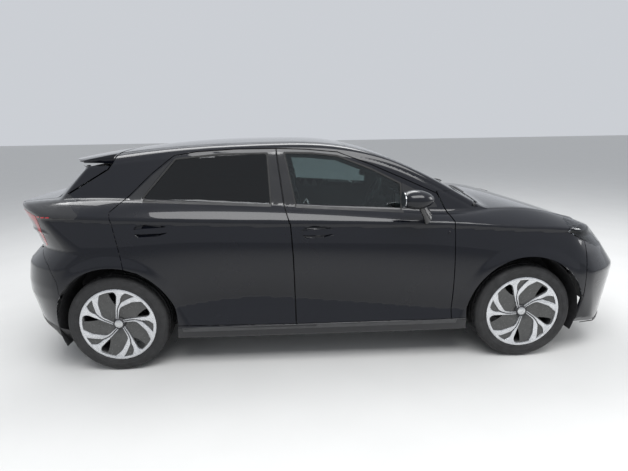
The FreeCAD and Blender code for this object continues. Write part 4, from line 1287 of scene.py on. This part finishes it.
endTrims = (
    # piece, body, finish, way, outline, raised
    ("lowerIntake", "body", "satinTrim", 1, [(-0.62, 0.215), (-0.56, 0.345), (0.56, 0.345), (0.62, 0.215)], 0.001),
    ("intakeSlatLow", "body", "glossTrim", 1, [(-0.58, 0.246), (-0.58, 0.254), (0.58, 0.254), (0.58, 0.246)], 0.006),
    ("intakeSlatMiddle", "body", "glossTrim", 1, [(-0.56, 0.280), (-0.56, 0.288), (0.56, 0.288), (0.56, 0.280)], 0.006),
    ("intakeSlatHigh", "body", "glossTrim", 1, [(-0.54, 0.314), (-0.54, 0.322), (0.54, 0.322), (0.54, 0.314)], 0.006),
    ("frontLip", "body", "satinTrim", 1, [(-0.80, 0.198), (-0.80, 0.226), (0.80, 0.226), (0.80, 0.198)], 0.004),
    ("rearValance", "body", "satinTrim", -1, [(-0.78, 0.205), (-0.76, 0.335), (0.76, 0.335), (0.78, 0.205)], 0.0015),
)
for title, body, finish, sign, outline, raised in endTrims:
    done(strip(outline, lengthways(sign), 0.02, raised, 0.005), title, body, finish, "black_trim")
plateLook = (
    # piece, finish, rear, front, half width, bottom, top, rounding, slot
    ("frontPlateHolder", "satinTrim", 2.112, 2.134, 0.262, 0.405, 0.520, 0.003, "black_trim"),
    ("frontPlateBlank", "plateBlank", 2.133, 2.1365, 0.258, 0.408, 0.517, 0.001, None),
    ("rearPlateHolder", "satinTrim", -2.137, -2.095, 0.262, 0.395, 0.510, 0.003, "black_trim"),
    ("rearPlateBlank", "plateBlank", -2.1400, -2.1365, 0.258, 0.398, 0.507, 0.001, None),
)
for title, finish, rear, ahead, half, low, high, radius, slot in plateLook:
    done(rounded((rear, -half, low), (ahead, half, high), radius), title, "body", finish, slot)
print("trim made")


# arch liners
linerLook = {"inner": -0.56, "outer": -0.862, "start": -24, "turn": 228, "thickness": 0.003}


def makeLiner(centre, look):
    radius, height, inner = formLook["linerRadius"], formLook["archHeight"], look["inner"]
    deselect()
    bpy.ops.mesh.primitive_grid_add(x_subdivisions=56, y_subdivisions=6, size=1)
    liner = bpy.context.object

    def at(degrees):
        angle = math.radians(degrees)
        return centre + radius * math.cos(angle), height + radius * math.sin(angle)

    def bend(co):
        x, z = at(look["start"] + look["turn"] * (co.x + 0.5))
        return (x, inner + (look["outer"] - inner) * (co.y + 0.5), z)
    shapePoints(liner, bend)
    modify(liner, "SOLIDIFY", thickness=look["thickness"], offset=0.0)
    wall = [at(degrees) for degrees in range(look["start"], look["start"] + look["turn"] + 1, 6)]
    return joined([liner, plate(wall, inner - look["thickness"], inner + look["thickness"])])


for end, centre in wheelLook["centres"].items():
    pair(makeLiner(centre, linerLook), end + "ArchLiner", "body", "carpet", "black_trim", 40)


# rods, tubes and wiper arms
def tube(points, radii, around=10):
    # a closed tube through points, with a half width and half height at each
    deselect()
    bpy.ops.mesh.primitive_grid_add(x_subdivisions=len(points) - 1, y_subdivisions=around, size=1)
    piece = bpy.context.object
    points = [Vector(p) for p in points]
    count = len(points)

    def wrap(co):
        i = round((co.x + 0.5) * (count - 1))
        angle = math.tau * round((co.y + 0.5) * around) / around
        along = (points[min(i + 1, count - 1)] - points[max(i - 1, 0)]).normalized()
        first = along.cross(Vector((0, 0, 1)) if abs(along.z) < 0.9 else Vector((1, 0, 0))).normalized()
        second = first.cross(along)
        return points[i] + first * math.cos(angle) * radii[i][0] + second * math.sin(angle) * radii[i][1]
    shapePoints(piece, wrap)
    makeActive(piece)
    bpy.ops.object.mode_set(mode="EDIT")
    bpy.ops.mesh.select_all(action="SELECT")
    bpy.ops.mesh.remove_doubles(threshold=0.00005)
    bpy.ops.mesh.fill_holes(sides=0)
    bpy.ops.mesh.select_all(action="SELECT")
    bpy.ops.mesh.normals_make_consistent(inside=False)
    bpy.ops.object.mode_set(mode="OBJECT")
    return piece


def overSkin(x, y, rise):
    # a point above the upper skin
    place = cast(*upwards()[1](np.array([(x, y)])), 0.0)
    return Vector(place[0] + gradientAt(place)[0] * rise)


cowl = [(1.022, 0.0), (1.001, 0.640), (0.963, 0.688), (0.984, 0.730), (1.036, 0.640), (1.068, 0.0),
        (1.036, -0.640), (0.984, -0.730), (0.963, -0.688), (1.001, -0.640)]
done(strip(cowl, upwards(), 0.014, -0.016, 0.004, 0.001), "cowlPanel", "body", "satinTrim", "black_trim")
wiperLook = {
    # pivot and tip, seen from above
    "pairs": (("driverWiper", (1.020, 0.42), (0.930, -0.20)), ("passengerWiper", (1.025, -0.10), (0.960, -0.62))),
    "arm": ((0, 0.010, 0.005), (0.12, 0.010, 0.005), (0.35, 0.007, 0.004), (0.6, 0.006, 0.003), (0.8, 0.005, 0.003)),
    "blade": (0.25, 0.45, 0.65, 0.85, 1.0),
    "bladeOffset": 0.012,
    "armRise": 0.010,
    "bladeRise": 0.006,
}
for title, pivot, tip in wiperLook["pairs"]:
    def along(t, offset=0.0):
        return pivot[0] - offset + (tip[0] - pivot[0]) * t, pivot[1] + (tip[1] - pivot[1]) * t
    arm = tube([overSkin(*along(t), 0.001 + wiperLook["armRise"] * min(1, 4 * t)) for t, _, _ in wiperLook["arm"]],
               [(width, height) for _, width, height in wiperLook["arm"]])
    blade = tube([overSkin(*along(t, wiperLook["bladeOffset"]), wiperLook["bladeRise"]) for t in wiperLook["blade"]],
                 [(0.004, 0.005)] * 5)
    done(joined([arm, blade]), title, "body", "satinTrim", "black_trim", 40)
rearWiper = tube([(-1.905, 0.0, 1.140), (-1.880, 0.10, 1.162), (-1.862, 0.30, 1.180)],
                 [(0.009, 0.006), (0.009, 0.006), (0.005, 0.004)])
done(rearWiper, "rearWiper", "tailgate", "satinTrim", "black_trim", 40)


# door mirrors, on the right-hand side
mirrorLook = {
    "centre": (0.520, -0.982, 1.132),
    "halfSize": (0.100, 0.080, 0.059),
    "cutX": 0.4385,          # where the shell ends and the glass begins
    "glassCentre": (-0.982, 1.133),
    "glassHalf": (0.068, 0.047),
    "lowerTrim": 1.094,
}


def makeMirror(look):
    deselect()
    bpy.ops.mesh.primitive_uv_sphere_add(segments=48, ring_count=32, radius=1)
    shell = bpy.context.object
    (middleX, middleY, middleZ), (halfX, halfY, halfZ) = look["centre"], look["halfSize"]

    def shape(co):
        # an egg that narrows towards the front
        x = halfX * co.x * (1.0 if co.x > 0 else 1.05)
        z = halfZ * co.z * (1 - 0.10 * co.x)
        y = halfY * co.y * (1 - 0.16 * max(co.x, 0))
        return (max(middleX + x, look["cutX"]), middleY + y - 0.012 * co.x, middleZ + z)
    shapePoints(shell, shape)
    tidyMesh(shell, 0.0001)
    foot = tube([(0.560, -0.950, 1.098), (0.585, -0.920, 1.055), (0.610, -0.893, 1.020), (0.625, -0.872, 0.995)],
                [(0.020, 0.040), (0.019, 0.036), (0.021, 0.040), (0.024, 0.048)], 16)
    (glassY, glassZ), (wide, tall) = look["glassCentre"], look["glassHalf"]
    turns = [math.tau * k / 40 for k in range(40)]
    outline = [(glassY + wide * math.cos(turn), glassZ + tall * math.sin(turn)) for turn in turns]
    glass = plate(outline, look["cutX"] - 0.0023, look["cutX"] + 0.0007, "X")
    for label, hand, matrix in sides:
        part, coats = copied(shell, matrix), ["blackPaint", "glossTrim"]
        done(part, "mirrorShell" + label, "front_door_" + hand, coats, "paint", 50, ["mirror_" + hand])
        parted(part, lambda centres, normals: np.where(centres[2] < look["lowerTrim"], 1, 0))
    bpy.data.objects.remove(shell)
    pair(foot, "mirrorFoot", "front_door_", "glossTrim", "black_trim", 50)
    pair(glass, "mirrorGlass", "front_door_", "mirrorGlass")


makeMirror(mirrorLook)
print("outside fittings made")

# padded seats: each pad is swelled with the cloth simulation, then its seams are pressed in
padLook = {"voxel": 0.010, "pressure": 4.0, "cap": 0.024, "frames": 20, "seamDepth": 0.007, "seamWidth": 0.011}


def slab(low, high, lean=0.0, taper=0.0):
    # a block between two corners that leans back and narrows as it rises
    piece = rounded(low, high, 0.028, 3)
    middle = (low[1] + high[1]) / 2

    def tilt(co):
        rise = co.z - low[2]
        return (co.x - lean * rise, middle + (co.y - middle) * (1 - taper * rise), co.z)
    return shapePoints(piece, tilt)


def swelled(piece, look, seams):
    makeActive(piece)
    piece.data.remesh_voxel_size = look["voxel"]
    bpy.ops.object.voxel_remesh()
    start = [v.co.copy() for v in piece.data.vertices]
    cloth = piece.modifiers.new("Cloth", "CLOTH")
    cloth.settings.use_pressure = True
    cloth.settings.uniform_pressure_force = look["pressure"]
    cloth.settings.effector_weights.gravity = 0
    cloth.point_cache.frame_end = look["frames"]
    for step in range(1, look["frames"] + 1):
        bpy.context.scene.frame_set(step)
    makeActive(piece)
    bpy.ops.object.modifier_apply(modifier=cloth.name)
    bpy.context.scene.frame_set(1)
    for vertex, place in zip(piece.data.vertices, start):
        travel = vertex.co - place
        if travel.length > look["cap"]:
            vertex.co = place + travel.normalized() * look["cap"]
    modify(piece, "SUBSURF", levels=1, render_levels=1)
    places = [(v.co.copy(), v.normal.copy()) for v in piece.data.vertices]
    for vertex, (co, normal) in zip(piece.data.vertices, places):
        near = min(seam(co) for seam in seams)
        if near < look["seamWidth"]:
            share = 1 - near / look["seamWidth"]
            vertex.co = co - normal * look["seamDepth"] * share * share * (3 - 2 * share)
    return piece


seatLook = {
    "middle": -0.365,        # of the right front seat
    "benchMiddle": -0.290,   # of the right half of the bench
    "lean": 0.22,
    "benchLean": 0.20,
    "taper": 0.10,
    "bolster": 0.140,       # from the seat's middle to the seam of its side bolster
    "benchSeam": 0.170,
    "fill": 0.8,
}


def padded(piece, title, nodes, seams):
    # swells a pattern and places it on both sides
    swelled(piece, padLook, seams)
    for label, hand, matrix in sides:
        pad = done(copied(piece, matrix), title + label, "body", "seatCloth", "seat_fabric", 60, nodes.get(hand, ()))
    bpy.data.objects.remove(piece)


def makeSeats(look):
    middle, bench, lean, taper = look["middle"], look["benchMiddle"], look["lean"], look["taper"]
    bolster = look["bolster"]
    across = [lambda co: abs(abs(co.y - middle) - bolster)]
    padded(slab((-0.150, middle - 0.215, 0.455), (0.320, middle + 0.215, 0.548)), "seatCushion",
           {"right": ["seat_front_right"], "left": ["seat_front_left"]},
           across + [lambda co: abs(co.x - 0.225) if abs(co.y - middle) < bolster else 1])
    padded(slab((-0.215, middle - 0.205, 0.560), (-0.125, middle + 0.205, 1.070), lean, taper), "seatBack", {},
           across + [lambda co: abs(co.z - 0.930) if abs(co.y - middle) < bolster else 1])
    padded(slab((-0.292, middle - 0.105, 1.105), (-0.225, middle + 0.105, 1.250), 0.05), "seatHeadrest", {},
           [lambda co: 1])
    seams = [lambda co: abs(abs(co.y - bench) - look["benchSeam"]), lambda co: abs(co.z - 0.960) if co.z > 0.7 else 1]
    padded(slab((-1.110, bench - 0.262, 0.480), (-0.660, bench + 0.262, 0.555)), "benchCushion",
           {"right": ["rear_seat"]}, seams)
    padded(slab((-1.110, bench - 0.250, 0.590), (-1.035, bench + 0.250, 1.070), look["benchLean"]), "benchBack",
           {}, seams)
    # shells, bases and posts that carry the pads
    shell = slab((-0.250, middle - 0.215, 0.520), (-0.215, middle + 0.215, 1.060), lean, taper)
    pair(shell, "seatBackShell", "body", "seatSide")
    pan = rounded((-0.180, middle - 0.235, 0.405), (0.310, middle + 0.235, 0.462), 0.018)
    pair(pan, "seatPan", "body", "grainedTrim", "black_trim")
    base = rounded((-0.150, middle - 0.190, 0.300), (0.260, middle + 0.190, 0.406), 0.010)
    pair(base, "seatBase", "body", "frameCoat")
    for k, shift in enumerate((-0.06, 0.06)):
        post = tube([(-0.318, middle + shift, 1.020), (-0.268, middle + shift, 1.130)], [(0.006, 0.006)] * 2)
        pair(post, "headrestPost%d" % (k + 1), "body", "brakeIron", None, 40)
    base = rounded((-1.150, -0.580, 0.330), (-0.680, 0.580, 0.482), 0.012)
    done(base, "benchBase", "body", "carpet", "black_trim")
    shell = slab((-1.150, -0.560, 0.560), (-1.120, 0.560, 1.060), look["benchLean"])
    done(shell, "benchBackShell", "body", "carpet", "black_trim")


makeSeats(seatLook)
print("seats made")

# cabin fittings
done(rounded((0.590, 0.250, 0.962), (0.606, 0.480, 1.046), 0.004), "driverScreen", "body", "blackScreen")
done(rounded((0.560, -0.155, 0.935), (0.576, 0.175, 1.080), 0.004), "centreScreen", "body", "blackScreen")
for k, y in enumerate((-0.60, -0.24, 0.20, 0.60)):
    vent = rounded((0.566, y - 0.055, 0.896), (0.600, y + 0.055, 0.924), 0.004)
    done(vent, "airVent%d" % (k + 1), "body", "glossTrim", "black_trim")
done(rounded((0.440, -0.120, 1.262), (0.462, 0.120, 1.322), 0.008), "innerMirror", "body", "glossTrim", "black_trim")
for title, body, back, ahead, low in (("frontArmrest", "front_door_", -0.120, 0.430, 0.735),
                                      ("rearArmrest", "rear_door_", -0.980, -0.480, 0.770)):
    rest = rounded((back, -0.800, low), (ahead, -0.742, low + 0.040), 0.012)
    pair(rest, title, body, "grainedTrim", "black_trim")
print("cabin fitted")

# CAD nodes that stay, with their finishes
nodeFinishes = {
    "battery_pack": "batteryCase", "drive_motor": "motorCase", "dashboard": "softDash", "floor_pan": "floorSheet",
    "front_frame": "frameCoat", "rear_frame": "frameCoat", "steering_wheel": "wheelLeather",
}
for hand in ("left", "right"):
    nodeFinishes["knuckle_" + hand] = "castDark"
for node, finish in nodeFinishes.items():
    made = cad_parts[node]
    made.data.materials.clear()
    made.data.materials.append(finishes[finish])

# stage: floor, soft boxes and the camera at the photograph's place

stageLook = {
    "floorSize": 120.0,
    "floorColour": rgb(0.62, 0.62, 0.61),
    "skyColour": rgb(0.80, 0.83, 0.88),
    "skyStrength": 0.75,
    "boxes": [
        # place, aim, width, depth, watts
        ((0.5, -3.2, 5.5), (0.0, 0.0, 0.6), 6.0, 2.5, 300),
        ((-1.0, 2.0, 5.5), (0.0, 0.0, 0.8), 7.0, 2.0, 260),
        ((7.0, -1.0, 3.5), (1.0, 0.0, 0.5), 3.0, 3.0, 160),
    ],
    "cameraPlace": (-0.206, -3.570, 1.556),
    "cameraTurn": (2.12, 13.70, -0.96),
    "focalPixels": 435.0,
    "frameWidth": 628.0,
    "sensorWidth": 36.0,
}


def makeStage(look):
    deselect()
    bpy.ops.mesh.primitive_grid_add(x_subdivisions=2, y_subdivisions=2, size=look["floorSize"], location=(0, 0, 0))
    ground = bpy.context.object
    ground.name = "studioFloor"
    shader = Shader("studioFloor")
    patch = shader.spread(shader.noise(2.2, 5), 0.0, 0.25)
    ground.data.materials.append(shader.finish(shader.principled(
        Base_Color=shader.blend(patch, look["floorColour"], rgb(0.55, 0.55, 0.54)), Roughness=0.75)))
    world = bpy.data.worlds.new("studioSky")
    world.use_nodes = True
    bpy.context.scene.world = world
    sky = world.node_tree.nodes["Background"]
    sky.inputs["Color"].default_value = look["skyColour"]
    sky.inputs["Strength"].default_value = look["skyStrength"]
    for place, aim, width, depth, watts in look["boxes"]:
        bpy.ops.object.light_add(type="AREA", location=place)
        lamp = bpy.context.object
        lamp.rotation_euler = (Vector(aim) - Vector(place)).to_track_quat("-Z", "Y").to_euler()
        lamp.data.shape = "RECTANGLE"
        lamp.data.size, lamp.data.size_y, lamp.data.energy = width, depth, watts


def makeCamera(look):
    yaw, pitch, roll = (math.radians(a) for a in look["cameraTurn"])
    ahead = Vector((math.sin(yaw), math.cos(yaw), 0))
    right = Vector((math.cos(yaw), -math.sin(yaw), 0))
    up = Vector((0, 0, 1))
    view = ahead * math.cos(pitch) - up * math.sin(pitch)
    lifted = up * math.cos(pitch) + ahead * math.sin(pitch)
    across = right * math.cos(roll) + lifted * math.sin(roll)
    top = lifted * math.cos(roll) - right * math.sin(roll)
    matrix = Matrix((across, top, -view)).transposed().to_4x4()
    matrix.translation = Vector(look["cameraPlace"])
    lens = bpy.data.cameras.new("photoCamera")
    lens.sensor_width = look["sensorWidth"]
    lens.lens = look["sensorWidth"] * look["focalPixels"] / look["frameWidth"]
    lens.clip_start, lens.clip_end = 0.05, 300.0
    camera = bpy.data.objects.new("photoCamera", lens)
    bpy.context.scene.collection.objects.link(camera)
    camera.matrix_world = matrix
    bpy.context.scene.camera = camera


makeStage(stageLook)
makeCamera(stageLook)
bpy.context.scene.view_settings.view_transform = "Standard"
print("stage and camera set")
